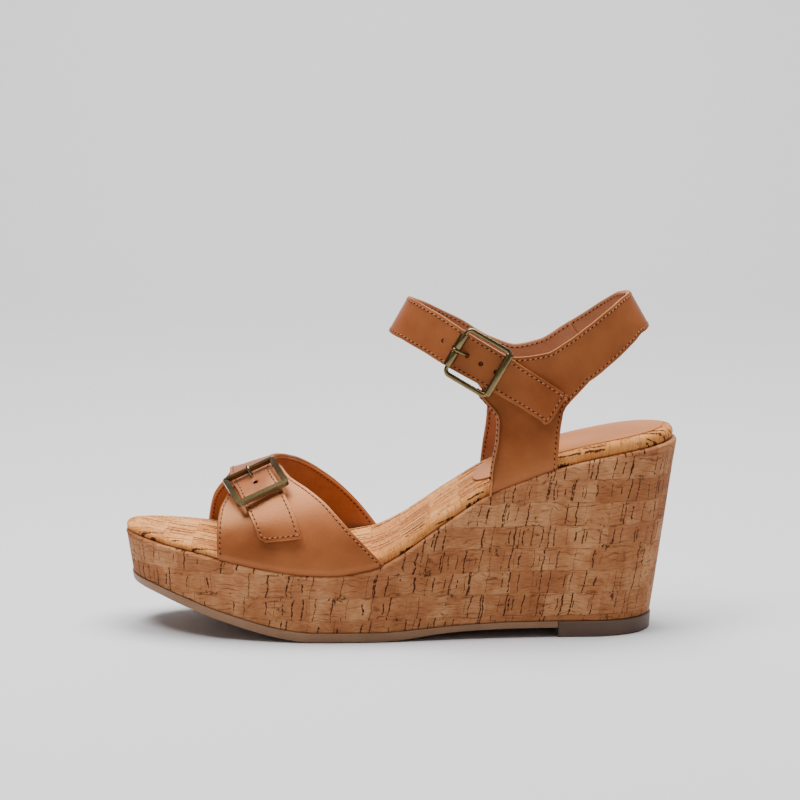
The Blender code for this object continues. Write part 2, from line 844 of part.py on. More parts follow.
def stay_edge(stay, up, column, top_x):
    """X of a stay's edge: its own table below the waist, then a flare out to the strap's edge."""
    flare_start = stay[-1][0]
    if up <= flare_start:
        return place_on_length(smooth(stay, up, column))
    waist = place_on_length(stay[-1][column])
    return mix(waist, top_x, ((up - flare_start) / (1 - flare_start)) ** STAY_FLARE)


def ankle_strap(collection, cutters):
    """Inner stay, with the strap that goes round the front and through the ankle buckle."""
    def trim(offset):
        return tab_trim(offset, STRAP_WIDTH, TAB_SLANT, TAB_CORNER, TAB_TIP)

    turns = (SEAM_TURN + SEAM_SLIT / 2, ANKLE_LINE[-1][0])
    obj = strap_and_stay("ankle_strap", ANKLE_LINE, turns, ANKLE_COLUMNS, MEDIAL_HANG, ankle_offset,
                         trim, STAY_MEDIAL, 1, collection)
    for i in range(-2, 3):
        turn = turn_along(ANKLE_LINE, BUCKLE_TURN, i * HOLE_PITCH)
        middle, _, _, out = strip_frame(ANKLE_LINE, turn)
        punch(obj, f"ankle_hole_{i + 3}", middle, out, cutters)


def turn_along(rows, turn, distance):
    """The turn that lies a distance further along a strap's middle line."""
    step = ankle_midline(rows, turn + 0.5) - ankle_midline(rows, turn - 0.5)
    return turn + distance / step.length


def quarter_lateral(collection):
    """Outer stay with the sling round the heel, up to a seam on the inner side."""
    turns = (SEAM_SLIT / 2 - SEAM_TURN, QUARTER_LINE[-1][0])
    strap_and_stay("quarter_lateral", QUARTER_LINE, turns, QUARTER_COLUMNS, LATERAL_HANG,
                   lambda turn: 0.0, None, STAY_LATERAL, -1, collection)


def place(obj, at, along, across, out):
    """Turn an object so that its X runs along a strap, its Y across it and its Z outwards."""
    obj.matrix_world = Matrix.Translation(at) @ Matrix((along, across, out)).transposed().to_4x4()


def rounded_frame(length, width, corner):
    """Points of a buckle frame's centre line, with round corners."""
    points = []
    steps = 4
    for quarter, (sx, sy) in enumerate(((1, 1), (-1, 1), (-1, -1), (1, -1))):
        centre = Vector((sx * (length / 2 - corner), sy * (width / 2 - corner), 0))
        for i in range(steps + 1):
            angle = math.radians(90 * quarter + 90 * i / steps)
            points.append(centre + Vector((math.cos(angle), math.sin(angle), 0)) * corner)
    return points


def wire(name, points, radius, closed, finish, collection, matrix_from):
    """A bent wire: a bevelled curve, made a mesh and welded."""
    data = bpy.data.curves.new(name, "CURVE")
    data.dimensions = "3D"
    data.bevel_depth = radius
    data.bevel_resolution = 2
    data.use_fill_caps = True
    spline = data.splines.new("POLY")
    spline.points.add(len(points) - 1)
    for slot, point in zip(spline.points, points):
        slot.co = (*point, 1)
    spline.use_cyclic_u = closed
    curve = bpy.data.objects.new(name + "_curve", data)
    collection.objects.link(curve)
    place(curve, *matrix_from)
    bpy.context.view_layer.update()
    mesh = bpy.data.meshes.new_from_object(curve.evaluated_get(bpy.context.evaluated_depsgraph_get()))
    bm = bmesh.new()
    bm.from_mesh(mesh)
    bmesh.ops.remove_doubles(bm, verts=bm.verts, dist=1e-6)
    bmesh.ops.recalc_face_normals(bm, faces=bm.faces)
    bm.to_mesh(mesh)
    bm.free()
    mesh.name = name
    mesh.materials.clear()
    obj = new_object(name, mesh, finish, collection)
    mesh.shade_smooth()
    mesh.set_sharp_from_angle(angle=math.radians(40))
    obj.matrix_world = curve.matrix_world
    bpy.data.objects.remove(curve)
    return obj


def sleeve(name, start, end, frame_at, collection):
    """Half of a buckle's roller: a tube round the frame's bar, along the strap's width."""
    bm = bmesh.new()
    bmesh.ops.create_cone(bm, segments=16, radius1=ROLLER_DIAMETER / 2, radius2=ROLLER_DIAMETER / 2,
                          depth=end - start, cap_ends=False)
    mesh = bpy.data.meshes.new(name)
    bm.to_mesh(mesh)
    bm.free()
    mesh.shade_smooth()
    obj = new_object(name, mesh, "antique_brass", collection)
    at, along, across, out = frame_at
    place(obj, at + across * (start + end) / 2, along, out, -across)
    solid = obj.modifiers.new("wall", "SOLIDIFY")
    solid.thickness = ROLLER_WALL
    solid.offset = -1
    return obj


def prong(name, bar_radius, reach, drop, frame_at, collection):
    """A pin that hooks over the bar and reaches along the strap, down to a hole."""
    bend = bar_radius + SEAT_GAP + PRONG_WIRE / 2
    points = [Vector((-bend * math.cos(math.radians(a)), 0, bend * math.sin(math.radians(a))))
              for a in (-5, 20, 45, 70, 90)]
    points.append(Vector((bend * 0.7, 0, bend * 0.92)))
    points.append(Vector((reach * 0.75, 0, mix(bend, drop, 0.62))))
    points.append(Vector((reach, 0, drop)))
    wire(name, points, PRONG_WIRE / 2, False, "antique_brass", collection, frame_at)


def vamp_buckle(collection):
    """Rectangular frame over the vamp tab, with a pin from its upper bar."""
    at, down, across, out = vamp_frame(VAMP_BUCKLE_ROUND)
    width = STRAP_WIDTH + 2 * FRAME_CLEARANCE + FRAME_BAR
    lift = FRAME_BAR / 2 + SEAT_GAP
    centre = at + out * lift
    points = rounded_frame(VAMP_FRAME_LENGTH, width, VAMP_FRAME_CORNER)
    wire("vamp_buckle_frame", points, FRAME_BAR / 2, True, "antique_brass", collection,
         (centre, down, across, out))
    bar = centre - down * VAMP_FRAME_LENGTH / 2
    prong("vamp_buckle_prong", FRAME_BAR / 2, VAMP_PRONG_REACH,
          PRONG_WIRE / 2 - FRAME_BAR / 2 - PRONG_DIP, (bar, down, across, out), collection)


def ankle_buckle(collection):
    """Frame over the ankle strap, with a roller on its front bar and a pin from it."""
    turn = turn_along(ANKLE_LINE, BUCKLE_TURN, ANKLE_FRAME_LENGTH / 2 - PRONG_REACH)
    middle, along, across, out = strip_frame(ANKLE_LINE, turn)
    width = STRAP_WIDTH + 2 * FRAME_CLEARANCE + FRAME_BAR
    lift = WALL + LAP_GAP + SEAT_GAP + ROLLER_DIAMETER / 2
    centre = middle + out * lift
    frame_at = (centre, along, across, out)
    points = rounded_frame(ANKLE_FRAME_LENGTH, width, ANKLE_FRAME_CORNER)
    wire("ankle_buckle_frame", points, FRAME_BAR / 2, True, "antique_brass", collection, frame_at)
    bar_at = (centre - along * ANKLE_FRAME_LENGTH / 2, along, across, out)
    inner = PRONG_WIRE / 2 + SEAT_GAP
    outer = width / 2 - ANKLE_FRAME_CORNER
    sleeve("ankle_roller_lower", -outer, -inner, bar_at, collection)
    sleeve("ankle_roller_upper", inner, outer, bar_at, collection)
    prong("ankle_buckle_prong", FRAME_BAR / 2, PRONG_REACH,
          PRONG_WIRE / 2 - ROLLER_DIAMETER / 2 - PRONG_DIP, bar_at, collection)


def elastic_gore(collection):
    """Ribbed elastic that holds the ankle buckle to the outer quarter, inside the strap."""
    under = -(WALL + SEAT_GAP)
    grid = []
    for j in range(5):
        offset = mix(-GORE_WIDTH / 2, GORE_WIDTH / 2, j / 4)
        grid.append([strip_point(ANKLE_LINE, mix(*GORE_TURNS, i / 12), offset, under) for i in range(13)])
    shell("elastic_gore", grid, "elastic", collection, GORE_THICKNESS, leg_outwards)


def main():
    for obj in list(bpy.data.objects):
        bpy.data.objects.remove(obj)
    parts = bpy.data.collections.new("platform_sandal")
    cutters = bpy.data.collections.new("cutters")
    for collection in (parts, cutters):
        bpy.context.scene.collection.children.link(collection)
    outsole(parts)
    heel_lift(parts)
    wedge(parts)
    footbed(parts)
    heel_sock(parts)
    vamp_lateral(parts)
    vamp_medial(parts, cutters)
    quarter_lateral(parts)
    ankle_strap(parts, cutters)
    vamp_buckle(parts)
    ankle_buckle(parts)
    elastic_gore(parts)


main()
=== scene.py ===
# %% [markdown]
# # A platform sandal
# This lesson dresses a left shoe: a cork-covered wedge, a cork footbed, a buckled toe band and a
# buckled ankle strap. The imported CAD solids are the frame. They say where each piece is and how
# large it is. Here each one gets the edges, layers, stitches and finish of the real shoe.

# %% Load the frame
import math

import bmesh
import bpy
from mathutils import Matrix, Vector
from mathutils.kdtree import KDTree


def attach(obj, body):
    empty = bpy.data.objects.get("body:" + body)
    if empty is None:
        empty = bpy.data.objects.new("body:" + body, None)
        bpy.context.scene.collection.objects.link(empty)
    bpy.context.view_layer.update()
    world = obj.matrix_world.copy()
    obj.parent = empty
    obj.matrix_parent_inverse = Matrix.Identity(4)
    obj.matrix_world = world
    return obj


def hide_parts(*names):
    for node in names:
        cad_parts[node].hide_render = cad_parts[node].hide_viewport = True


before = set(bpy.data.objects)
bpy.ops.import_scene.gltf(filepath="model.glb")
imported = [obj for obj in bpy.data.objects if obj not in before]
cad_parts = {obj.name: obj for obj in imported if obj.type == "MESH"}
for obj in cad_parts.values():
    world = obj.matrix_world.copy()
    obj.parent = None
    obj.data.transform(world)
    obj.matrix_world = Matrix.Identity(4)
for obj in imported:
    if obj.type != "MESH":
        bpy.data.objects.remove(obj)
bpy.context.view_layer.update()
MM = 0.001

# %% [markdown]
# ## The camera
# The photograph is taken from the outer side with a long lens, a little above the shoe. A camera
# could be placed by eye, but here it was worked out from the shoe's corners: 1.27 m away, 0.27 m
# up, tilted down by 7.66 degrees. A long lens keeps the toe and heel at nearly the same scale.

# %% Camera
CAMERA_AT = (0.0, -1.273, 0.272)
CAMERA_DOWN = 7.66
LENS = 130.5
SENSOR = 36

camera_data = bpy.data.cameras.new("studio_camera")
camera_data.lens = LENS
camera_data.sensor_width = SENSOR
camera = bpy.data.objects.new("studio_camera", camera_data)
bpy.context.scene.collection.objects.link(camera)
camera.location = CAMERA_AT
camera.rotation_euler = (math.radians(90 - CAMERA_DOWN), 0, 0)
bpy.context.scene.camera = camera
print("camera at", CAMERA_AT, "lens", LENS, "mm")

# %% [markdown]
# ## The last
# A shoe is built round a last, so every piece shares a few lines: the plan outline, the feather
# line where upper and footbed meet the wedge, the arch of the toe band, and the leg that the
# ankle strap goes round. The pieces could be drawn one by one, but then they wouldn't fit. These
# are the same named sizes and short tables as the CAD model's, in metres and shares.

# %% Sizes
SHOE_LENGTH = 245 * MM
BALL_WIDTH = 89 * MM
SEAT_GAP = 0.3 * MM
LAP_GAP = 0.45 * MM
PLATFORM_HEIGHT = 29.7 * MM
HEEL_RISE = 55.7 * MM
TOE_RISE = 13.5 * MM
TOE_SPRING = 19.6 * MM
TOE_UNDERCUT = 3 * MM
HEEL_LEAN = 11.2 * MM
SIDE_TAPER = 2.5 * MM
TOE_ROUND = 39 * MM
HEEL_ROUND = 32 * MM
TOE_FULLNESS = 2.4
HEEL_FULLNESS = 2.2
OUTSOLE_THICKNESS = 4.2 * MM
SHANK_THICKNESS = 3 * MM
OUTSOLE_PROUD = 0.4 * MM
LIFT_THICKNESS = 7 * MM
LIFT_LENGTH = 42 * MM
FOOTBED_THICKNESS = 5.8 * MM
TOE_PAD_THICKNESS = 3.4 * MM
SOCK_LENGTH = 84 * MM
SOCK_TIP_ROUND = 20 * MM
SOCK_TIP_FULLNESS = 2.3
WALL = 2 * MM
STRAP_WIDTH = 18 * MM
HOLE_DIAMETER = 2 * MM
HOLE_PITCH = 6.6 * MM
BAND_HEIGHT = 45 * MM
CREST_SHIFT = 4 * MM
VAMP_BUCKLE_ROUND = -35.5
VAMP_HOLE_ROUNDS = (-21.5, -34)
VAMP_CLIMB_ROUND = 14
VAMP_CLIMB_SPAN = 22
VAMP_TAB_SLANT = 4
VAMP_TAB_BEVEL = 2.6
VAMP_TAB_BEVEL_SHARE = 0.17
ANKLE_CENTRE = 53.2 * MM
ANKLE_REACH = 57.2 * MM
ANKLE_HALF_WIDTH = 28 * MM
ANKLE_FLARE = 0.57
SADDLE_HEIGHT = 114 * MM
SADDLE_RISE = 28 * MM
STAY_BLEND = 118 * MM
BUCKLE_TURN = 247.6
CLIMB_TURN = 226
CLIMB_SPAN = 20
SEAM_TURN = 69.2
MEDIAL_HANG = (73.0, 106.0)
LATERAL_HANG = (68.5, 104.0)
STAY_FLARE = 1.8
STAY_CROWDING = 1.7
TAB_SLANT = 0.22
TAB_CORNER = 5.5 * MM
TAB_TIP = 0.8 * MM
TAB_SHARE = 0.07
TAB_CURL = 0.7 * MM
ANKLE_CURL_TURN = 266
ANKLE_CURL_SPAN = 16
VAMP_CURL_ROUND = -50
VAMP_CURL_SPAN = 20

# %% Tables of the last
# along: share of the length from the toe. The rest are shares of the ball width.
OUTLINE = (
    # along, swing, lateral, medial
    (0.00, 0.100, 0.350, 0.280), (0.10, 0.067, 0.410, 0.360), (0.20, 0.034, 0.466, 0.444),
    (0.36, 0.000, 0.500, 0.500), (0.45, 0.000, 0.494, 0.472), (0.55, 0.000, 0.455, 0.421),
    (0.65, 0.000, 0.410, 0.388), (0.75, 0.000, 0.376, 0.365), (0.85, 0.000, 0.354, 0.354),
    (1.00, 0.000, 0.343, 0.343),
)
# Height of the feather line, as shares of the toe rise and the heel rise
FEATHER = (
    # along, toe, heel
    (0.000, 1.000, 0.000), (0.080, 0.760, 0.000), (0.145, 0.570, 0.000), (0.186, 0.410, 0.000),
    (0.251, 0.190, 0.000), (0.316, 0.045, 0.000), (0.375, 0.000, 0.000), (0.447, 0.000, 0.045),
    (0.500, 0.000, 0.155), (0.533, 0.000, 0.253), (0.586, 0.000, 0.415), (0.661, 0.000, 0.620),
    (0.720, 0.000, 0.720), (0.778, 0.000, 0.808), (0.892, 0.000, 0.921), (1.000, 0.000, 1.000),
)
# Underside of the wedge: shares of the toe spring and of the step up to the heel
UNDERSIDE = (
    # along, spring, shank
    (0.010, 1.000, 0.000), (0.063, 0.862, 0.000), (0.116, 0.663, 0.000), (0.169, 0.454, 0.000),
    (0.218, 0.281, 0.000), (0.265, 0.133, 0.000), (0.310, 0.035, 0.000), (0.345, 0.000, 0.000),
    (0.459, 0.000, 0.000), (0.500, 0.000, 0.100), (0.557, 0.000, 0.480), (0.635, 0.000, 0.860),
    (0.712, 0.000, 1.000), (1.000, 0.000, 1.000),
)
# How the outsole thins out towards the shank
OUTSOLE_THIN = (
    # along, thick
    (0.00, 0.30), (0.10, 0.80), (0.25, 1.00), (0.47, 1.00), (0.60, 0.00), (1.00, 0.00),
)
# How the footbed thickens from the toe to the ball
FOOTBED_SWELL = (
    # along, full
    (0.00, 0.00), (0.16, 0.10), (0.25, 0.50), (0.36, 0.90), (0.43, 1.00), (1.00, 1.00),
)
# Crest of the toe band over the feather line, as a share of the band height
CREST = (
    # along, rise
    (0.10, 0.56), (0.16, 0.67), (0.20, 0.75), (0.24, 0.86), (0.28, 0.955), (0.32, 1.00),
    (0.36, 1.03), (0.50, 1.05),
)
# Edges of the two vamp panels: degrees round the foot from the crest, and shares of the length
VAMP_LATERAL = (
    # round, front, rear
    (-90, 0.1765, 0.4736), (-78, 0.1755, 0.4430), (-65, 0.1755, 0.4080), (-50, 0.1790, 0.3690),
    (-40, 0.1870, 0.3370), (-28, 0.1980, 0.3010), (-14, 0.2070, 0.2830),
)
VAMP_MEDIAL = (
    # round, front, rear
    (90, 0.1400, 0.4680), (75, 0.1440, 0.4370), (60, 0.1510, 0.4030), (50, 0.1600, 0.3780),
    (40, 0.1720, 0.3510), (24, 0.1850, 0.3180), (8, 0.1910, 0.2960), (-8, 0.1930, 0.2720),
    (-23, 0.1980, 0.2710), (-41, 0.2160, 0.2910), (-56, 0.2315, 0.3095), (-74.5, 0.2530, 0.3275),
)
# Middle lines of the ankle pieces: degrees round the leg from the heel, share of the saddle rise,
# share of the strap width
ANKLE_LINE = (
    # turn, rise, width
    (60.0, 0.4480, 1.12), (66.0, 0.3245, 1.12), (79.4, 0.050, 1.12), (91.0, -0.040, 1.10),
    (103.0, 0.110, 1.06), (121.7, 0.480, 1.00), (152.0, 0.800, 1.00), (180.0, 0.910, 1.00),
    (203.0, 0.860, 1.00), (221.9, 0.725, 1.00), (239.1, 0.500, 0.98), (259.6, 0.112, 0.93),
    (271.0, -0.178, 0.88), (282.0, -0.500, 0.84),
)
QUARTER_LINE = (
    # turn, rise, width
    (-72.0, 0.2015, 1.12), (-56.6, 0.512, 1.08), (-40.0, 0.785, 1.02), (-24.0, 0.940, 1.00),
    (0.0, 1.000, 1.00), (24.0, 0.930, 1.00), (40.0, 0.765, 1.05), (56.6, 0.490, 1.10),
    (67.1, 0.270, 1.12), (79.4, 0.045, 1.10), (91.0, -0.010, 1.06), (99.0, 0.020, 1.04),
    (104.0, 0.080, 1.04),
)
# Edges of the stays from the feather line up to their straps
STAY_LATERAL = (
    # up, front, rear
    (0.00, 0.661, 0.778), (0.32, 0.668, 0.781), (0.55, 0.676, 0.784), (0.76, 0.678, 0.789),
)
STAY_MEDIAL = (
    # up, front, rear
    (0.00, 0.647, 0.764), (0.32, 0.653, 0.766), (0.55, 0.659, 0.769), (0.76, 0.661, 0.773),
)


# %% Reading the tables
def smooth(rows, place, column):
    """Read one column of a table at a place along it, with a monotone cubic between its rows."""
    if rows[0][0] > rows[-1][0]:
        rows = rows[::-1]
    xs = [row[0] for row in rows]
    ys = [row[column] for row in rows]
    if place <= xs[0]:
        return ys[0]
    if place >= xs[-1]:
        return ys[-1]
    slopes = [(ys[i + 1] - ys[i]) / (xs[i + 1] - xs[i]) for i in range(len(xs) - 1)]
    tangents = [slopes[0]]
    for before, after in zip(slopes, slopes[1:]):
        level = before * after <= 0
        tangents.append(0.0 if level else 2 * before * after / (before + after))
    tangents.append(slopes[-1])
    i = max(k for k in range(len(xs) - 1) if xs[k] <= place)
    step = xs[i + 1] - xs[i]
    t = (place - xs[i]) / step
    return ((1 + 2 * t) * (1 - t) ** 2 * ys[i] + t * (1 - t) ** 2 * step * tangents[i]
            + t * t * (3 - 2 * t) * ys[i + 1] + t * t * (t - 1) * step * tangents[i + 1])


def ease(share):
    """Smooth step from 0 to 1."""
    share = min(max(share, 0.0), 1.0)
    return share * share * (3 - 2 * share)


def mix(a, b, share):
    return a + (b - a) * share


def share_of_length(x):
    return (x + SHOE_LENGTH / 2) / SHOE_LENGTH


def place_on_length(share):
    return share * SHOE_LENGTH - SHOE_LENGTH / 2


def feather_height(x):
    """Height of the wedge's top edge."""
    along = share_of_length(x)
    return PLATFORM_HEIGHT + smooth(FEATHER, along, 1) * TOE_RISE + smooth(FEATHER, along, 2) * HEEL_RISE


def underside_height(x):
    """Height of the wedge's underside."""
    along = share_of_length(x)
    return (OUTSOLE_THICKNESS + SEAT_GAP + smooth(UNDERSIDE, along, 1) * TOE_SPRING
            + smooth(UNDERSIDE, along, 2) * (LIFT_THICKNESS - OUTSOLE_THICKNESS))


def footbed_thickness(x):
    return mix(TOE_PAD_THICKNESS, FOOTBED_THICKNESS, smooth(FOOTBED_SWELL, share_of_length(x), 1))


def rounding(share, fullness):
    """Width of a superellipse's quarter, from 0 at its tip to 1."""
    return max(1 - (1 - share) ** fullness, 0.0) ** (1 / fullness)


def end_rounding(along):
    """Share of the full width that the rounded toe and heel leave."""
    toe = min(along * SHOE_LENGTH / TOE_ROUND, 1.0)
    heel = min((1 - along) * SHOE_LENGTH / HEEL_ROUND, 1.0)
    return rounding(toe, TOE_FULLNESS) * rounding(heel, HEEL_FULLNESS)


def side_width(along, side):
    """Y of the feather line at one side: -1 for the outer side, 1 for the inner side."""
    swing = smooth(OUTLINE, along, 1) * BALL_WIDTH
    half = smooth(OUTLINE, along, 2 if side < 0 else 3) * BALL_WIDTH
    return swing + side * half * end_rounding(along)


def plan_point(share, side, level, inset):
    """A point of the plan outline, at a level from the underside to the feather line."""
    start = mix(-SHOE_LENGTH / 2 + TOE_UNDERCUT, -SHOE_LENGTH / 2, level)
    end = mix(SHOE_LENGTH / 2 - HEEL_LEAN, SHOE_LENGTH / 2, level)
    taper = SIDE_TAPER * (1 - level)

    def outline(at):
        at = min(max(at, 0.0), 1.0)
        y = side_width(at, side)
        middle = smooth(OUTLINE, at, 1) * BALL_WIDTH
        narrow = min(taper, abs(y - middle))
        return Vector((mix(start, end, at), y - side * narrow * end_rounding(at), 0))

    if share <= 0.0:
        inwards = Vector((1, 0, 0))
    elif share >= 1.0:
        inwards = Vector((-1, 0, 0))
    else:
        reach = 0.3 * min(share, 1 - share, 0.01)
        tangent = outline(share + reach) - outline(share - reach)
        inwards = Vector((tangent.y, -tangent.x, 0)).normalized() * side
    return outline(share) + inwards * inset


def spaced(i, count, start=0.0, end=1.0):
    """Shares from start to end that crowd towards the rounded toe and heel."""
    first = math.acos(1 - 2 * start)
    last = math.acos(1 - 2 * end)
    return (1 - math.cos(mix(first, last, i / count))) / 2


print("heel height", round(feather_height(SHOE_LENGTH / 2) / MM, 1), "mm")


# %% The surfaces that the straps lie on
def normal_at(surface, u, v, du, dv):
    """Unit normal of a surface function by small steps."""
    across_u = surface(u + du, v) - surface(u - du, v)
    across_v = surface(u, v + dv) - surface(u, v - dv)
    return across_u.cross(across_v).normalized()


def vamp_skin(degrees, x, out=0.0):
    """A point on the toe band's outer surface: an arch over the forefoot."""
    def skin(angle, at):
        turn = math.radians(angle)
        along = share_of_length(at)
        y = (mix(side_width(along, -1), side_width(along, 1), (1 + math.sin(turn)) / 2)
             + CREST_SHIFT * math.cos(turn) ** 2)
        rise = smooth(CREST, along, 1) * BAND_HEIGHT
        return Vector((at, y, feather_height(at) + SEAT_GAP + rise * math.cos(turn)))

    point = skin(degrees, x)
    normal = normal_at(skin, degrees, x, 0.5, 0.5 * MM)
    if normal.dot(Vector((0, point.y, 0.05))) < 0:
        normal = -normal
    return point + normal * out


def leg_reach(z):
    """Half length of the leg's plan section at a height."""
    return ANKLE_REACH + ANKLE_FLARE * (SADDLE_HEIGHT + 0.7 * SADDLE_RISE - z)


def ankle_skin(degrees, z, out=0.0):
    """A point on the ankle's outer surface. 0 is the heel, 90 the inner side, 180 the front."""
    def skin(angle, height):
        turn = math.radians(angle)
        x = ANKLE_CENTRE + leg_reach(height) * math.cos(turn)
        side = 1 if math.sin(turn) > 0 else -1
        sole_y = side_width(share_of_length(x), side)
        foot = feather_height(x)
        free = ease((height - foot) / (STAY_BLEND - foot))
        return Vector((x, mix(sole_y, ANKLE_HALF_WIDTH * math.sin(turn), free), height))

    point = skin(degrees, z)
    normal = normal_at(skin, degrees, z, 0.5, 0.5 * MM)
    away = Vector((math.cos(math.radians(degrees)), math.sin(math.radians(degrees)), 0))
    if normal.dot(away) < 0:
        normal = -normal
    return point + normal * out


def turn_of(x, z, side):
    """Degrees round the leg of a point given from the side."""
    share = min(max((x - ANKLE_CENTRE) / leg_reach(z), -1.0), 1.0)
    return math.degrees(math.acos(share)) * side


def strap_middle(rows, turn, side=1):
    """Middle of a strap at a turn round the leg."""
    return ankle_skin(turn * side, SADDLE_HEIGHT + smooth(rows, turn, 1) * SADDLE_RISE)


def strap_frame(rows, turn, side=1):
    """Middle, direction along, direction across and up, and outward normal of a strap."""
    middle = strap_middle(rows, turn, side)
    along = (strap_middle(rows, turn + 0.5, side) - strap_middle(rows, turn - 0.5, side)).normalized()
    out = (ankle_skin(turn * side, middle.z, MM) - middle).normalized()
    across = out.cross(along).normalized()
    return middle, along, across if across.z > 0 else -across, out


def strap_point(rows, turn, offset, out, side=1, slide=0.0):
    """A point across a strap, put back on the leg's surface and moved outwards."""
    middle, along, across, _ = strap_frame(rows, turn, side)
    point = middle + across * offset + along * slide
    angle = math.degrees(math.atan2(point.y / ANKLE_HALF_WIDTH,
                                    (point.x - ANKLE_CENTRE) / leg_reach(point.z)))
    return ankle_skin(angle, point.z, out)


def turn_along(rows, turn, distance):
    """The turn that lies a distance further along a strap's middle line."""
    step = strap_middle(rows, turn + 0.5) - strap_middle(rows, turn - 0.5)
    return turn + distance / step.length


def ankle_out(turn):
    """The ankle strap climbs onto the outer quarter, and its tab lifts a little at the end."""
    lift = TAB_CURL * ease((turn - ANKLE_CURL_TURN) / ANKLE_CURL_SPAN)
    return (WALL + LAP_GAP) * ease((turn - CLIMB_TURN) / CLIMB_SPAN) + lift


def vamp_tab_out(angle):
    """The inner vamp panel climbs onto the outer one over the crest, and its tab lifts too."""
    lift = TAB_CURL * ease((VAMP_CURL_ROUND - angle) / VAMP_CURL_SPAN)
    return (WALL + LAP_GAP) * ease((VAMP_CLIMB_ROUND - angle) / VAMP_CLIMB_SPAN) + lift


print("ankle strap's top", round(strap_middle(QUARTER_LINE, 0).z / MM, 1), "mm")


# %% [markdown]
# ## Materials
# Each finish starts from the real one: how it was made, and what that gives the eye. Colours are
# written as sRGB hex values and turned to linear, because the shader works in linear light.
# Pattern sizes are real sizes in millimetres, read from Object coordinates or from a piece's own
# UV map, so they stay the same on every piece.

# %% Helpers for materials
def srgb(text):
    """An sRGB hex colour as linear RGBA."""
    values = [int(text[i:i + 2], 16) / 255 for i in (1, 3, 5)]
    return (*[v / 12.92 if v <= 0.04045 else ((v + 0.055) / 1.055) ** 2.4 for v in values], 1)


def node(tree, kind, inputs=None, give=0, **settings):
    """Add one node with its settings, values and links. give: its output, or None for the node."""
    made = tree.nodes.new("ShaderNode" + kind)
    for key, value in settings.items():
        setattr(made, key, value)
    for key, value in (inputs or {}).items():
        if isinstance(value, bpy.types.NodeSocket):
            tree.links.new(value, made.inputs[key])
        else:
            made.inputs[key].default_value = value
    return made if give is None else made.outputs[give]


def new_material(name):
    """An empty material with its Principled shader, for a dielectric by default."""
    made = bpy.data.materials.new(name)
    made.use_nodes = True
    return made, made.node_tree, made.node_tree.nodes["Principled BSDF"]


def connect(tree, output, socket):
    tree.links.new(output, socket)


# %% [markdown]
# ### Cork veneer
# The wedge is wrapped in a thin veneer pressed from strips of cork bark. Each strip is about
# 10 mm high and shows fine wavy growth rings along it, dark broken pores straight across it,
# called lenticels, and now and then a crumb of dark bark. The pattern could be an image, but it
# is worked out here from the strips' real sizes: a row number for each strip, a random number
# for each block in a row, and one pore at a random place in each cell of the row.


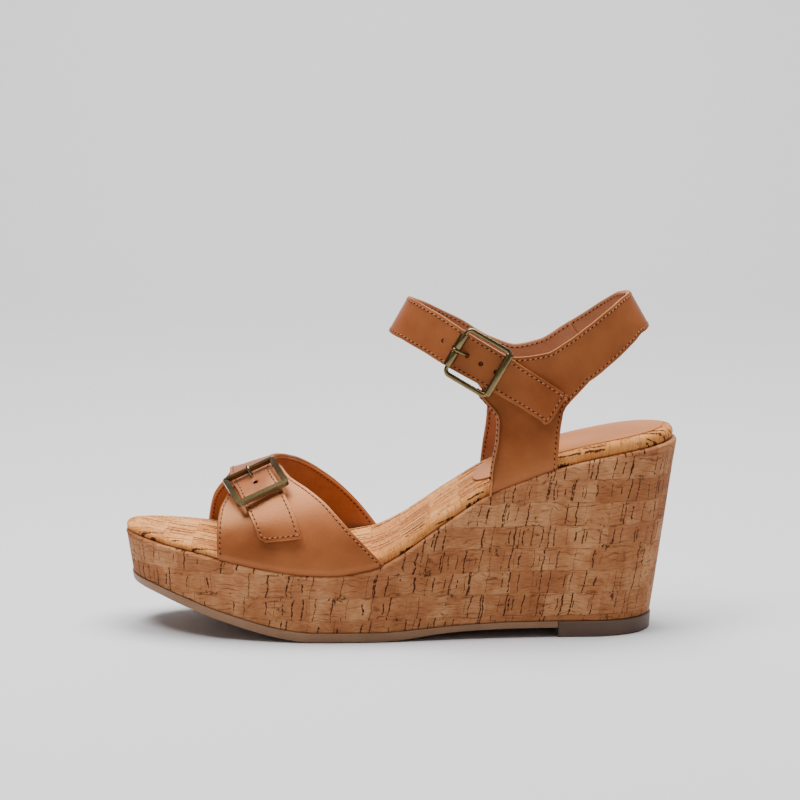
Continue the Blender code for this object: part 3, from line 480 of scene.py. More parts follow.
# %% Cork
def cork(name, strip, block, cells, pore, tones, dark, ringed, bump):
    """Cork of strips, with pores across them. Sizes are in millimetres.

    cells: pore spacings. ringed: strength of the growth rings. The UV map "wrap" gives metres along
    a strip and across it: round the outline and up on the wedge, across and along on the footbed.
    """
    made, tree, shader = new_material(name)
    metres = node(tree, "UVMap", uv_map="wrap")
    place = node(tree, "VectorMath", {0: metres, "Scale": 1000.0}, operation="SCALE")
    sway = node(tree, "TexNoise", {"Vector": place, "Scale": 0.16, "Detail": 3.0}, give="Color")
    swayed = node(tree, "VectorMath", {0: sway, 1: (0.5, 0.5, 0.5)}, operation="SUBTRACT")
    moved = node(tree, "VectorMath", {0: swayed, 1: (3.0, 2.6, 0.0), 2: place}, operation="MULTIPLY_ADD")
    parts = node(tree, "SeparateXYZ", {0: moved}, give=None)
    u, v = parts.outputs["X"], parts.outputs["Y"]

    # Strips and blocks
    rows = node(tree, "Math", {0: v, 1: strip}, operation="DIVIDE")
    row = node(tree, "Math", {0: rows}, operation="FLOOR")
    in_row = node(tree, "Math", {0: rows}, operation="FRACT")
    row_random = node(tree, "TexWhiteNoise", {"W": row}, noise_dimensions="1D")
    blocks = node(tree, "Math", {0: u, 1: block}, operation="DIVIDE")
    blocks = node(tree, "Math", {0: row_random, 1: 7.3, 2: blocks}, operation="MULTIPLY_ADD")
    block_number = node(tree, "Math", {0: blocks}, operation="FLOOR")
    key = node(tree, "CombineXYZ", {"X": block_number, "Y": row})
    block_random = node(tree, "TexWhiteNoise", {"Vector": key}, noise_dimensions="3D")
    joint = node(tree, "Math", {0: in_row, 1: 0.5}, operation="PINGPONG")

    # Pores: one in each cell of a strip, at a random place, of uneven width and length
    beads = node(tree, "Mapping", {"Vector": place, "Scale": (0.5, 0.85, 1.0)})
    bead = node(tree, "TexNoise", {"Vector": beads, "Scale": 1.0, "Detail": 3.0})
    bead = node(tree, "MapRange", {0: bead, 1: 0.3, 2: 0.54, 3: 0.0, 4: pore})
    lean = node(tree, "Math", {0: in_row, 1: 0.6, 2: u}, operation="MULTIPLY_ADD")
    pores = None
    for seed, cell in enumerate(cells):
        cut = node(tree, "Math", {0: lean, 1: cell}, operation="DIVIDE")
        cut = node(tree, "Math", {0: row_random, 1: 31.7 + seed, 2: cut}, operation="MULTIPLY_ADD")
        number = node(tree, "Math", {0: cut}, operation="FLOOR")
        in_cell = node(tree, "Math", {0: cut}, operation="FRACT")
        key = node(tree, "CombineXYZ", {"X": number, "Y": row, "Z": 3.0 + seed})
        colour = node(tree, "TexWhiteNoise", {"Vector": key}, noise_dimensions="3D", give="Color")
        random = node(tree, "SeparateColor", {0: colour}, give=None)
        centre = node(tree, "MapRange", {0: random.outputs[0], 3: 0.15, 4: 0.85})
        off = node(tree, "Math", {0: in_cell, 1: centre}, operation="SUBTRACT")
        off = node(tree, "Math", {0: off}, operation="ABSOLUTE")
        strength = node(tree, "MapRange", {0: random.outputs[1], 1: 0.36, 2: 0.9})
        width = node(tree, "Math", {0: bead, 1: strength}, operation="MULTIPLY")
        inside = node(tree, "Math", {0: off, 1: -cell, 2: width}, operation="MULTIPLY_ADD")
        mark = node(tree, "MapRange", {0: inside, 1: -0.02, 2: 0.1})
        half = node(tree, "MapRange", {0: random.outputs[2], 3: 0.2, 4: 0.68})
        low = node(tree, "Math", {0: half, 1: -0.5}, operation="ADD")
        reach = node(tree, "Math", {0: joint, 1: low}, operation="ADD")
        reach = node(tree, "MapRange", {0: reach, 1: 0.0, 2: 0.05})
        mark = node(tree, "Math", {0: mark, 1: reach}, operation="MULTIPLY")
        pores = mark if pores is None else node(tree, "Math", {0: mark, 1: pores}, operation="MAXIMUM")

    # Crumbs of bark, mostly where strips meet
    crumb = node(tree, "TexNoise", {"Vector": moved, "Scale": 0.55, "Detail": 6.0, "Roughness": 0.66})
    patch = node(tree, "TexNoise", {"Vector": place, "Scale": 0.085, "Detail": 1.0})
    crumbs = node(tree, "Math", {0: patch, 1: 0.5, 2: crumb}, operation="MULTIPLY_ADD")
    crumbs = node(tree, "Math", {0: joint, 1: -0.16, 2: crumbs}, operation="MULTIPLY_ADD")
    crumbs = node(tree, "MapRange", {0: crumbs, 1: 0.87, 2: 0.91, 4: 0.9})

    # Growth rings: thin wavy lines along the strip, that fade in and out
    waves = node(tree, "Mapping", {"Vector": moved, "Scale": (0.05, 0.13, 1.0)})
    wave = node(tree, "TexNoise", {"Vector": waves, "Scale": 1.0, "Detail": 3.0})
    wave = node(tree, "Math", {0: wave, 1: 5.0, 2: row_random}, operation="MULTIPLY_ADD")
    wave = node(tree, "Math", {0: v, 1: 0.42, 2: wave}, operation="MULTIPLY_ADD")
    ring = node(tree, "Math", {0: wave, 1: 0.5}, operation="PINGPONG")
    ring = node(tree, "MapRange", {0: ring, 1: 0.0, 2: 0.14, 3: 1.0, 4: 0.0})
    fading = node(tree, "Mapping", {"Vector": place, "Scale": (0.09, 0.3, 1.0)})
    fade = node(tree, "TexNoise", {"Vector": fading, "Scale": 1.0, "Detail": 2.0})
    fade = node(tree, "MapRange", {0: fade, 1: 0.4, 2: 0.62, 3: 0.08, 4: 1.0})
    seam = node(tree, "MapRange", {0: joint, 1: 0.0, 2: 0.035, 3: 1.0, 4: 0.0})
    lines = node(tree, "Math", {0: ring, 1: seam}, operation="MAXIMUM")
    lines = node(tree, "Math", {0: lines, 1: fade}, operation="MULTIPLY")

    # Colour: a tone for each block, softened by a cloudy noise and by fine fibres
    cloud = node(tree, "TexNoise", {"Vector": place, "Scale": 0.11, "Detail": 4.0})
    tone = node(tree, "Math", {0: block_random, 1: 0.42, 2: cloud}, operation="MULTIPLY_ADD")
    tone = node(tree, "MapRange", {0: tone, 1: 0.42, 2: 1.0})
    ramp = node(tree, "ValToRGB", {0: tone}, give=None)
    ramp.color_ramp.elements[0].color = srgb(tones[0])
    ramp.color_ramp.elements[1].color = srgb(tones[2])
    ramp.color_ramp.elements.new(0.5).color = srgb(tones[1])
    fibres = node(tree, "Mapping", {"Vector": place, "Scale": (0.35, 1.5, 1.0)})
    fibre = node(tree, "TexNoise", {"Vector": fibres, "Scale": 1.0, "Detail": 4.0, "Roughness": 0.65})
    fibre = node(tree, "MapRange", {0: fibre, 1: 0.3, 2: 0.7, 3: 0.72, 4: 1.18})
    colour = node(tree, "VectorMath", {0: ramp.outputs[0], "Scale": fibre}, operation="SCALE")
    lined = node(tree, "Math", {0: lines, 1: ringed}, operation="MULTIPLY")
    colour = node(tree, "Mix", {0: lined, 6: colour, 7: srgb(dark[0])}, data_type="RGBA", give=2)
    holes = node(tree, "Math", {0: pores, 1: crumbs}, operation="MAXIMUM")
    colour = node(tree, "Mix", {0: holes, 6: colour, 7: srgb(dark[1])}, data_type="RGBA", give=2)
    connect(tree, colour, shader.inputs["Base Color"])
    shader.inputs["Roughness"].default_value = 0.7
    shader.inputs["IOR"].default_value = 1.45
    shader.inputs["Specular IOR Level"].default_value = 0.12
    height = node(tree, "Math", {0: holes, 1: -1.0, 2: fibre}, operation="MULTIPLY_ADD")
    height = node(tree, "Math", {0: lines, 1: -0.3, 2: height}, operation="MULTIPLY_ADD")
    bumped = node(tree, "Bump", {"Strength": bump, "Distance": 0.0003, "Height": height})
    connect(tree, bumped, shader.inputs["Normal"])
    return made


# Veneer pressed from bark strips: matte, warm brown, with dark pores
cork_veneer = cork("cork_veneer", 10.0, 27.0, (6.1, 3.7), 0.4, ("#975D38", "#A96F47", "#BF895C"),
                   ("#5E3319", "#3A1F10"), 0.85, 0.5)
# Paler, finer sheet on the footbed
cork_sheet = cork("cork_sheet", 13.0, 19.0, (6.7, 4.3), 1.15, ("#BA733A", "#CC8646", "#DC9A5C"),
                  ("#7E4E28", "#4E2B16"), 0.7, 0.4)
print("materials:", cork_veneer.name, cork_sheet.name)


# %% [markdown]
# ### Leather
# The straps are vegetable-tanned cowhide, dyed tan and lightly waxed: a soft, wide gloss over a
# very fine grain, and a cloudy colour where wax and handling have darkened it. The lining is the
# same hide with its grain left open. A cut edge is paler, because the dye doesn't reach it.


# %% Leather materials
def mottled(name, noise, colours, roughness, ends=(0.0, 1.0)):
    """A finish of two colours mixed by a noise in the shoe's own space.

    noise: the inputs of the noise. roughness: one value, or a pair that follows the noise.
    ends: where on the noise the two colours are full.
    """
    made, tree, shader = new_material(name)
    place = node(tree, "TexCoord", give="Object")
    cloud = node(tree, "TexNoise", {"Vector": place, **noise})
    ramp = node(tree, "ValToRGB", {0: cloud}, give=None)
    for element, end, colour in zip(ramp.color_ramp.elements, ends, colours):
        element.position = end
        element.color = srgb(colour)
    connect(tree, ramp.outputs[0], shader.inputs["Base Color"])
    if isinstance(roughness, tuple):
        rough = node(tree, "MapRange", {0: cloud, 1: 0.3, 2: 0.7, 3: roughness[0], 4: roughness[1]})
        connect(tree, rough, shader.inputs["Roughness"])
    else:
        shader.inputs["Roughness"].default_value = roughness
    return made, tree, shader, place, cloud, ramp.outputs[0]


def rough_surface(tree, shader, height, strength, distance):
    """Bump of a surface: its strength, and the relief's depth in metres."""
    bumped = node(tree, "Bump", {"Strength": strength, "Distance": distance, "Height": height})
    connect(tree, bumped, shader.inputs["Normal"])


def leather(name, colours, grain_mm, grain_depth, roughness, gloss):
    """Hide with a fine grain. gloss: strength of its warm wax gloss, tinted by the dye."""
    made, tree, shader, place, _, colour = mottled(
        name, {"Scale": 42.0, "Detail": 4.0, "Roughness": 0.55}, colours,
        (roughness - 0.06, roughness + 0.06), (0.32, 0.68))
    cells = node(tree, "TexVoronoi", {"Vector": place, "Scale": 1000 / grain_mm}, feature="SMOOTH_F1")
    fine = node(tree, "TexNoise", {"Vector": place, "Scale": 900.0, "Detail": 3.0})
    height = node(tree, "Math", {0: fine, 1: 0.6, 2: cells}, operation="MULTIPLY_ADD")
    shade = node(tree, "MapRange", {0: cells, 1: 0.0, 2: 0.9, 3: 1.04, 4: 0.9})
    colour = node(tree, "VectorMath", {0: colour, "Scale": shade}, operation="SCALE")
    connect(tree, colour, shader.inputs["Base Color"])
    shader.inputs["IOR"].default_value = 1.58
    shader.inputs["Specular IOR Level"].default_value = gloss
    shader.inputs["Specular Tint"].default_value = srgb("#FFB478")
    rough_surface(tree, shader, height, grain_depth, 0.0001)
    return made


# Dyed hide, waxed by hand until its grain shines
tan_leather = leather("waxed_tan_leather", ("#793D1F", "#96542E"), 0.8, 0.3, 0.4, 1.0)
lining_leather = leather("open_grain_lining", ("#98644A", "#AC785A"), 1.1, 0.8, 0.5, 0.8)
cut_edge = leather("pared_leather_edge", ("#A9683A", "#BC7B4A"), 0.5, 0.3, 0.5, 0.5)
sock_leather = leather("sock_leather", ("#A8622E", "#B67038"), 0.7, 0.12, 0.5, 0.25)


# %% [markdown]
# ### Thread, rubber, brass and elastic
# Waxed polyester thread has a soft sheen. Its needle holes are not cut: they are flat lenses in a dark
# colour, which is painted shade.
# The sole is solid brown rubber, moulded with a faint grain. The buckles are zinc castings with
# an antique brass plate: metallic, dark olive in the hollows and bright where it is rubbed.

# %% Other materials
thread = mottled("waxed_thread", {"Scale": 1500.0}, ("#8A5230", "#A66A40"), 0.5)[0]
# Painted shade: the dark colour of the needle holes, on flat lenses and on the walls of punched holes.
needle_hole_shade, tree, shader, *_ = mottled("needle_hole_shade", {"Scale": 600.0}, ("#35180B", "#4E2611"), 0.9)
shader.inputs["Specular IOR Level"].default_value = 0.05


def rubber(name, colours):
    """Moulded rubber: even, dull, with a very fine grain."""
    made, tree, shader, place, *_ = mottled(name, {"Scale": 60.0, "Detail": 5.0}, colours, 0.52, (0.3, 0.7))
    shader.inputs["IOR"].default_value = 1.52
    grain = node(tree, "TexNoise", {"Vector": place, "Scale": 1400.0, "Detail": 2.0})
    rough_surface(tree, shader, grain, 0.25, 0.0001)
    return made


brown_rubber = rubber("moulded_brown_rubber", ("#7A5637", "#8D6747"))
# The heel lift is the outsole's rubber in a darker copy: painted shade for the shade under the heel.
shaded_heel_rubber = rubber("heel_rubber_painted_shade", ("#4C3423", "#593F2B"))

# Zinc casting, plated with brass, then darkened in a bath and rubbed bright
antique_brass, tree, shader, place, *_ = mottled(
    "antique_brass_plate", {"Scale": 190.0, "Detail": 2.0}, ("#6A5B3C", "#7F6F4B"), (0.27, 0.21), (0.3, 0.7))
shader.inputs["Metallic"].default_value = 1.0
scratch = node(tree, "TexNoise", {"Vector": place, "Scale": 1200.0, "Detail": 3.0})
rough_surface(tree, shader, scratch, 0.05, 0.0001)

# Rubber threads woven in with polyester
elastic, tree, shader, _, weave, _ = mottled("ribbed_elastic", {"Scale": 1100.0, "Detail": 3.0},
                                             ("#7C523C", "#A97C62"), 0.85)
shader.inputs["Sheen Weight"].default_value = 0.3
rough_surface(tree, shader, weave, 0.5, 0.0002)
print("materials:", len(bpy.data.materials))


# %% [markdown]
# ## Modelling helpers
# Most pieces of a shoe are cut flat and bent round the last. So each starts as a flat grid
# primitive, whose corners run from 0 to 1, and is then laid on a surface point by point. The
# Solidify modifier gives it its thickness, and Bevel rounds its cut edges.


# %% Modelling helpers
def deselect():
    """Leave edit mode with nothing selected, as operators act on all that is selected."""
    if bpy.context.object and bpy.context.object.mode != "OBJECT":
        bpy.ops.object.mode_set(mode="OBJECT")
    bpy.ops.object.select_all(action="DESELECT")


def pick(obj):
    """Select one object alone."""
    deselect()
    obj.select_set(True)
    bpy.context.view_layer.objects.active = obj
    return obj


def add_grid(name, columns, rows):
    """A flat grid from 0 to 1 both ways."""
    deselect()
    bpy.ops.mesh.primitive_grid_add(x_subdivisions=columns, y_subdivisions=rows, size=1,
                                    location=(0.5, 0.5, 0))
    bpy.ops.object.transform_apply(location=True)
    obj = bpy.context.object
    obj.name = name
    return obj


def apply_modifier(obj, kind, **settings):
    """Add one modifier and apply it."""
    pick(obj)
    made = obj.modifiers.new(kind.lower(), kind)
    for key, value in settings.items():
        setattr(made, key, value)
    bpy.ops.object.modifier_apply(modifier=made.name)


def round_edges(obj, width, steps, angle=50, **settings):
    """Round every edge that is sharper than an angle in degrees."""
    apply_modifier(obj, "BEVEL", width=width, segments=steps, limit_method="ANGLE",
                   angle_limit=math.radians(angle), **settings)


def turned(x, y, z):
    """The turn that takes the three axes to three directions."""
    return Matrix((x, y, z)).transposed().to_4x4()


def tidy_mesh(obj, merge=1e-6, outwards=True):
    """Merge doubled points and turn the faces outwards."""
    pick(obj)
    bpy.ops.object.mode_set(mode="EDIT")
    bpy.ops.mesh.select_all(action="SELECT")
    bpy.ops.mesh.remove_doubles(threshold=merge)
    bpy.ops.mesh.dissolve_degenerate(threshold=1e-7)
    if outwards:
        bpy.ops.mesh.normals_make_consistent(inside=False)
    bpy.ops.object.mode_set(mode="OBJECT")


def finish_piece(obj, materials, replaces=(), sharp=38):
    """Smooth shading, materials and body of a finished piece; the CAD nodes it replaces are hidden."""
    pick(obj)
    bpy.ops.object.shade_smooth_by_angle(angle=math.radians(sharp))
    if materials:
        obj.data.materials.clear()
        for each in materials:
            obj.data.materials.append(each)
    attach(obj, "root")
    if replaces:
        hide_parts(*replaces)
    print(obj.name, len(obj.data.polygons), "faces")


# %% [markdown]
# ## Wedge, footbed, sock and sole
# The wedge of the real shoe is a light core with cork veneer glued round it, its top edge rolled
# over. Each of these bodies could be cut from a block. Here a grid is rolled into a tube instead:
# one way round a cross-section, the other way from toe to heel, where the tube closes.


# %% A tube from toe to heel
def round_the_side(side, arc, point):
    """UV of the veneer: metres round the outline from the toe, and metres up."""
    return side * arc, point.z


def sole_body(name, stations, section, start=0.0, end=1.0, unroll=round_the_side):
    """Roll a grid into a body along the shoe.

    section: rows round the cross-section, each (side, level, inset, height), where height is a
    function of x. unroll: the UV of a point.
    """
    columns = len(section)
    obj = add_grid(name, stations, columns)
    uv = obj.data.uv_layers[0]
    uv.name = "wrap"
    arcs = {-1: [0.0], 1: [0.0]}
    for side in (-1, 1):
        before = plan_point(start, side, 1.0, 0.0)
        for i in range(1, stations + 1):
            here = plan_point(spaced(i, stations, start, end), side, 1.0, 0.0)
            arcs[side].append(arcs[side][-1] + (here - before).length)
            before = here
    places = []
    for vert in obj.data.vertices:
        station = round(vert.co.x * stations)
        side, level, inset, height = section[round(vert.co.y * columns) % columns]
        point = plan_point(spaced(station, stations, start, end), side, level, inset)
        point.z = height(point.x)
        vert.co = point
        places.append(unroll(side, arcs[side][station], point))
    for loop in obj.data.loops:
        uv.data[loop.index].uv = places[loop.vertex_index]
    # The ends of the tube are closed by bridging each side to the other
    pick(obj)
    bpy.ops.object.mode_set(mode="EDIT")
    bpy.ops.mesh.select_all(action="SELECT")
    bpy.ops.mesh.remove_doubles(threshold=2e-6)
    bpy.ops.mesh.select_all(action="DESELECT")
    bpy.ops.mesh.select_mode(type="EDGE")
    bpy.ops.mesh.select_non_manifold()
    mesh = bmesh.from_edit_mesh(obj.data)
    if any(edge.select for edge in mesh.edges):
        bpy.ops.mesh.edge_face_add()
    bpy.ops.mesh.select_all(action="SELECT")
    bpy.ops.mesh.normals_make_consistent(inside=False)
    bpy.ops.object.mode_set(mode="OBJECT")
    return obj


def both_sides(rows):
    """A section up the outer side and down the inner side."""
    return [(-1, *row) for row in rows] + [(1, *row) for row in reversed(rows)]


# %% The cork wedge
WEDGE_ROLL = 1.7 * MM
WEDGE_FOOT = 0.5 * MM
LEDGE_REACH = 7 * MM


def wedge_height(level, drop):
    """Height between underside and feather line, less a drop in metres."""
    def height(x):
        return mix(underside_height(x), feather_height(x), level) - drop
    return height


rows = [(0.0, 3 * MM, wedge_height(0, 0.0)), (0.0, WEDGE_FOOT, wedge_height(0, 0.0)),
        (0.0, 0.0, wedge_height(0, -WEDGE_FOOT))]
for i in range(1, 8):
    rows.append((i / 8, 0.0, wedge_height(i / 8, 0.0)))
for i in range(6):
    angle = math.radians(18 * i)
    rows.append((1.0, WEDGE_ROLL * (1 - math.cos(angle)),
                 wedge_height(1, WEDGE_ROLL * (1 - math.sin(angle)))))
rows.append((1.0, LEDGE_REACH, wedge_height(1, 0.0)))
wedge = sole_body("wedge_cork", 150, both_sides(rows))
finish_piece(wedge, [cork_veneer], ["wedge"])

# %% [markdown]
# The footbed is a moulded cushion in a thin cork sheet that is folded round its edge, so its
# side is a full half round. The roll starts just inside the wedge's edge, where the straps pass.

# %% The footbed
BED_LEDGE = 1.7 * MM
TOE_FILL = 1.5 * MM
TOE_FILL_REACH = 16 * MM


def bed_height(share, drop=0.0):
    """Height up the footbed's thickness."""
    def height(x):
        return feather_height(x) + footbed_thickness(x) * share - drop
    return height


rows = [(1.0, BED_LEDGE + 4 * MM, bed_height(-0.10)), (1.0, BED_LEDGE + 1.4 * MM, bed_height(-0.06))]
for inset, share in ((0.7, 0.07), (0.25, 0.20), (0.0, 0.38), (0.06, 0.55), (0.42, 0.72), (1.1, 0.86),
                     (2.1, 0.955), (3.4, 1.0), (5.5, 1.03)):
    rows.append((1.0, BED_LEDGE + inset * MM, bed_height(share, 0.0)))
rows.append((1.0, BED_LEDGE + 12 * MM, bed_height(1.0, 0.35 * MM)))


def over_the_edge(side, arc, point):
    """UV of the folded sheet: metres across the bed and down its side, and metres along."""
    return point.y + side * (bed_height(1.0)(point.x) - point.z), point.x


footbed = sole_body("footbed_cork", 150, both_sides(rows), unroll=over_the_edge)
for vert in footbed.data.vertices:
    # At the toe the bed fills out to the wedge's edge
    vert.co.x -= TOE_FILL * ease(1 - (vert.co.x + SHOE_LENGTH / 2) / TOE_FILL_REACH)
finish_piece(footbed, [cork_sheet], ["footbed"])

# %% [markdown]
# Under the heel lies a thin leather sock, glued on, with a tongue-shaped front. Its edge is
# clean and slightly pressed in, so it reads as one dark line against the cork.

# %% The heel sock
SOCK_PROUD = 0.45 * MM
SOCK_EDGE = 4.6 * MM
SOCK_THICKNESS = 1.0 * MM
SOCK_ROUND = 0.22 * MM
SOCK_STEPS = 56
sock_back = SHOE_LENGTH / 2 - BED_LEDGE - SOCK_EDGE
sock_front = sock_back - SOCK_LENGTH


def sock_place(u, v):
    """Along the sock by u, across it by v."""
    x = mix(sock_front, sock_back, (1 - math.cos(math.pi * u)) / 2)
    tip = min((x - sock_front) / SOCK_TIP_ROUND, 1.0)
    heel = min((sock_back - x) / (HEEL_ROUND - SOCK_EDGE), 1.0)
    width = rounding(tip, SOCK_TIP_FULLNESS) * rounding(heel, HEEL_FULLNESS)
    along = min(share_of_length(x), 1 - HEEL_ROUND / SHOE_LENGTH)
    low = (side_width(along, -1) + BED_LEDGE + SOCK_EDGE) * width
    high = (side_width(along, 1) - BED_LEDGE - SOCK_EDGE) * width
    edge = 1 - abs(2 * v - 1)
    crown = 0.03 * footbed_thickness(x) * ease(edge * 8)
    return Vector((x, mix(low, high, v), bed_height(1.0)(x) + crown + SOCK_PROUD))


sock = add_grid("heel_sock_leather", SOCK_STEPS, 24)
for vert in sock.data.vertices:
    vert.co = sock_place(vert.co.x, vert.co.y)
tidy_mesh(sock)
apply_modifier(sock, "SOLIDIFY", thickness=SOCK_THICKNESS, offset=-1)
round_edges(sock, SOCK_ROUND, 2, 60)
finish_piece(sock, [sock_leather], ["heel_sock"])

# %% [markdown]
# The outsole is a sheet of rubber cemented under the forepart and shank, and the heel has a
# thicker top piece that takes the wear. Their edges are trimmed and buffed, so they get a small
# round. The tread's shallow moulded grooves are not modelled here; the rubber has only a fine grain.

# %% Outsole and heel lift
SOLE_ROUND = 0.6 * MM
breast = 1 - LIFT_LENGTH / (SHOE_LENGTH - TOE_UNDERCUT - HEEL_LEAN)


def outsole_height(share, drop=0.0):
    """Height from the tread to the top of the outsole."""
    def height(x):
        top = underside_height(x) - 0.1 * MM
        thin = smooth(OUTSOLE_THIN, share_of_length(x), 1)
        return top - (1 - share) * mix(SHANK_THICKNESS, OUTSOLE_THICKNESS, thin) + drop
    return height


rows = [(0.0, 5 * MM, outsole_height(0.0)), (0.0, SOLE_ROUND, outsole_height(0.0)),
        (0.0, 0.15 * MM, outsole_height(0.0, 0.2 * MM)), (0.0, -0.05 * MM, outsole_height(0.0, SOLE_ROUND)),
        (0.0, -0.25 * MM, outsole_height(0.5)), (0.0, -OUTSOLE_PROUD, outsole_height(0.93)),
        (0.0, 0.3 * MM, outsole_height(1.0)), (0.0, 5 * MM, outsole_height(1.0))]
outsole = sole_body("outsole_rubber", 110, both_sides(rows), 0.0, breast - SEAT_GAP / SHOE_LENGTH)
finish_piece(outsole, [brown_rubber], ["outsole"])

rows = [(0.0, 3 * MM, lambda x: 0.0), (0.0, SOLE_ROUND, lambda x: 0.0),
        (0.0, 0.15 * MM, lambda x: 0.2 * MM), (0.0, -0.05 * MM, lambda x: SOLE_ROUND),
        (0.0, -0.25 * MM, lambda x: 0.5 * LIFT_THICKNESS),
        (0.0, -OUTSOLE_PROUD, lambda x: 0.95 * LIFT_THICKNESS),
        (0.0, 0.3 * MM, lambda x: LIFT_THICKNESS + 0.15 * MM),
        (0.0, 4 * MM, lambda x: LIFT_THICKNESS + 0.15 * MM)]
# Its darker rubber is painted shade.
lift = sole_body("heel_lift_rubber", 40, both_sides(rows), breast, 1.0)
finish_piece(lift, [shaded_heel_rubber], ["heel_lift"])


# %% [markdown]
# ## Leather panels
# Each strap is two layers glued and stitched together: an outer of smooth hide and a thinner
# lining, cut as one, with the pared edges showing as two pale lines. So each panel is laid on the
# last once, as an open sheet, and both layers are made from it.


# %% Layers of a strap
OUTER_WALL = 1.15 * MM
LINING_WALL = 0.85 * MM
LINING_SET_IN = 0.25 * MM
EDGE_ROUND = 0.32 * MM
TUCK = 1.5 * MM
TUCK_HEIGHT = 2.6 * MM
TUCK_DROP = 1.3 * MM
PUNCH_DEPTH = 12 * MM


def outward_sheet(obj, outwards):
    """Turn an open sheet's faces away from the foot."""
    tidy_mesh(obj)
    total = sum(face.normal.dot(outwards(face.center)) * face.area for face in obj.data.polygons)
    if total < 0:
        pick(obj)
        bpy.ops.object.mode_set(mode="EDIT")
        bpy.ops.mesh.select_all(action="SELECT")
        bpy.ops.mesh.flip_normals()
        bpy.ops.object.mode_set(mode="OBJECT")
    return obj


def copy_of(obj, name):
    made = obj.copy()
    made.data = obj.data.copy()
    made.name = name
    bpy.context.scene.collection.objects.link(made)
    return made


def edge_loops(sheet):
    """The open edges of a sheet, as loops of points with inward directions and normals."""
    mesh = bmesh.new()
    mesh.from_mesh(sheet.data)
    mesh.normal_update()
    edges = {edge.index: edge for edge in mesh.edges if edge.is_boundary}
    loops = []
    while edges:
        edge = edges.pop(min(edges))
        chain = [edge.verts[0], edge.verts[1]]
        while True:
            follow = [e for e in chain[-1].link_edges if e.index in edges]
            if not follow:
                break
            del edges[follow[0].index]
            chain.append(follow[0].other_vert(chain[-1]))
        if chain[0] is chain[-1]:
            chain.pop()
        rows = []
        for i, vert in enumerate(chain):
            before, after = chain[i - 1].co, chain[(i + 1) % len(chain)].co
            first = (vert.co - before).normalized()
            second = (after - vert.co).normalized()
            normal = vert.normal
            tangent = (first + second).normalized()
            inwards = normal.cross(tangent).normalized()
            centre = sum((f.calc_center_median() for f in vert.link_faces), Vector()) / len(vert.link_faces)
            if inwards.dot(centre - vert.co) < 0:
                inwards = -inwards
            bend = max(first.dot(second), -0.2)
            stretch = 1 / math.sqrt(max((1 + bend) / 2, 0.4))
            rows.append((vert.co.copy(), inwards * stretch, normal.copy(), vert.index))
        loops.append(rows)
    mesh.free()
    return loops


def layer(sheet, name, depth, wall, hide, holes=(), replaces=(), set_in=0.0):
    """One layer of a strap: the sheet moved in by depth, given its wall and rounded edges.

    set_in: how far its edge stays back from the sheet's edge.
    """
    obj = copy_of(sheet, name)
    normals = [vert.normal.copy() for vert in obj.data.vertices]
    for rows in edge_loops(sheet):
        for _, inwards, _, index in rows:
            obj.data.vertices[index].co += inwards * set_in
    for vert, normal in zip(obj.data.vertices, normals):
        vert.co -= normal * depth
    obj.data.materials.clear()
    for each in (hide, cut_edge):
        obj.data.materials.append(each)
    apply_modifier(obj, "SOLIDIFY", thickness=wall, offset=-1, material_offset_rim=1)
    for at, out in holes:
        deselect()
        bpy.ops.mesh.primitive_cylinder_add(vertices=20, radius=HOLE_DIAMETER / 2, depth=PUNCH_DEPTH,
                                            location=at)
        punch = bpy.context.object
        # The punched walls take this dark colour, which is painted shade in the hole.
        punch.data.materials.append(needle_hole_shade)
        punch.rotation_mode = "QUATERNION"
        punch.rotation_quaternion = out.to_track_quat("Z", "Y")
        bpy.context.view_layer.update()
        apply_modifier(obj, "BOOLEAN", operation="DIFFERENCE", object=punch, solver="EXACT",
                       material_mode="TRANSFER")
        bpy.data.objects.remove(punch)
    corners = KDTree(len(obj.data.vertices))
    for vert in obj.data.vertices:
        corners.insert(vert.co, vert.index)
    corners.balance()
    round_edges(obj, EDGE_ROUND, 2, 55, use_clamp_overlap=False)
    for vert in obj.data.vertices:
        # A point that the bevel shot past a sharp inner corner goes back to it
        corner, _, gap = corners.find(vert.co)
        if gap > 4 * EDGE_ROUND:
            vert.co = corner
    finish_piece(obj, [], replaces)


def panel(sheet, outer, lining, replaced, holes=()):
    """Outer and lining of a strap, in place of its CAD node."""
    layer(sheet, outer, 0.0, OUTER_WALL, tan_leather, holes, [replaced])
    layer(sheet, lining, OUTER_WALL, LINING_WALL, lining_leather, holes, set_in=LINING_SET_IN)


def tucked(point):
    """Near the feather line a strap goes in and down, between wedge and footbed."""
    foot = feather_height(point.x)
    near = 1 - ease((point.z - foot) / TUCK_HEIGHT)
    side = 1 if point.y > 0 else -1
    return point - Vector((0, side * TUCK * near, TUCK_DROP * near * near))


# %% [markdown]
# ### Stitches
# A lockstitch shows as short, slightly slanted threads that dip into needle holes. Each
# stitch is modelled once, as a stretched sphere half sunk in the leather, and copied along a line
# that runs a little inside the panel's cut edge. The holes are not cut: between the threads lies a
# flat dark lens, which is painted shade for each hole.

# %% Stitch lines
STITCH_PITCH = 2.3 * MM
STITCH_INSET = 1.5 * MM


def stitch_places(sheet, keep, inside=False):
    """Places of stitches along the edges of a sheet where keep(point) is true."""
    places = []
    for rows in edge_loops(sheet):
        line = [(at + inwards * STITCH_INSET, normal) for at, inwards, normal, _ in rows]
        count = len(line)
        run = 0.0
        for i in range(count):
            (start, normal), (end, _) = line[i], line[(i + 1) % count]
            step = (end - start).length
            while run <= step:
                at = start.lerp(end, run / step) if step else start
                if keep(rows[i][0]):
                    places.append((at, (end - start).normalized(), normal))
                run += STITCH_PITCH
            run -= step
    if inside:
        places = [(at - normal * WALL, along, -normal) for at, along, normal in places]
    return places


def ball(name, size, segments=8, rings=6):
    """A stretched sphere, for a template."""
    deselect()
    bpy.ops.mesh.primitive_uv_sphere_add(segments=segments, ring_count=rings, radius=0.5)
    obj = bpy.context.object
    obj.name = name
    obj.data.transform(Matrix.Diagonal((*size, 1)))
    return obj


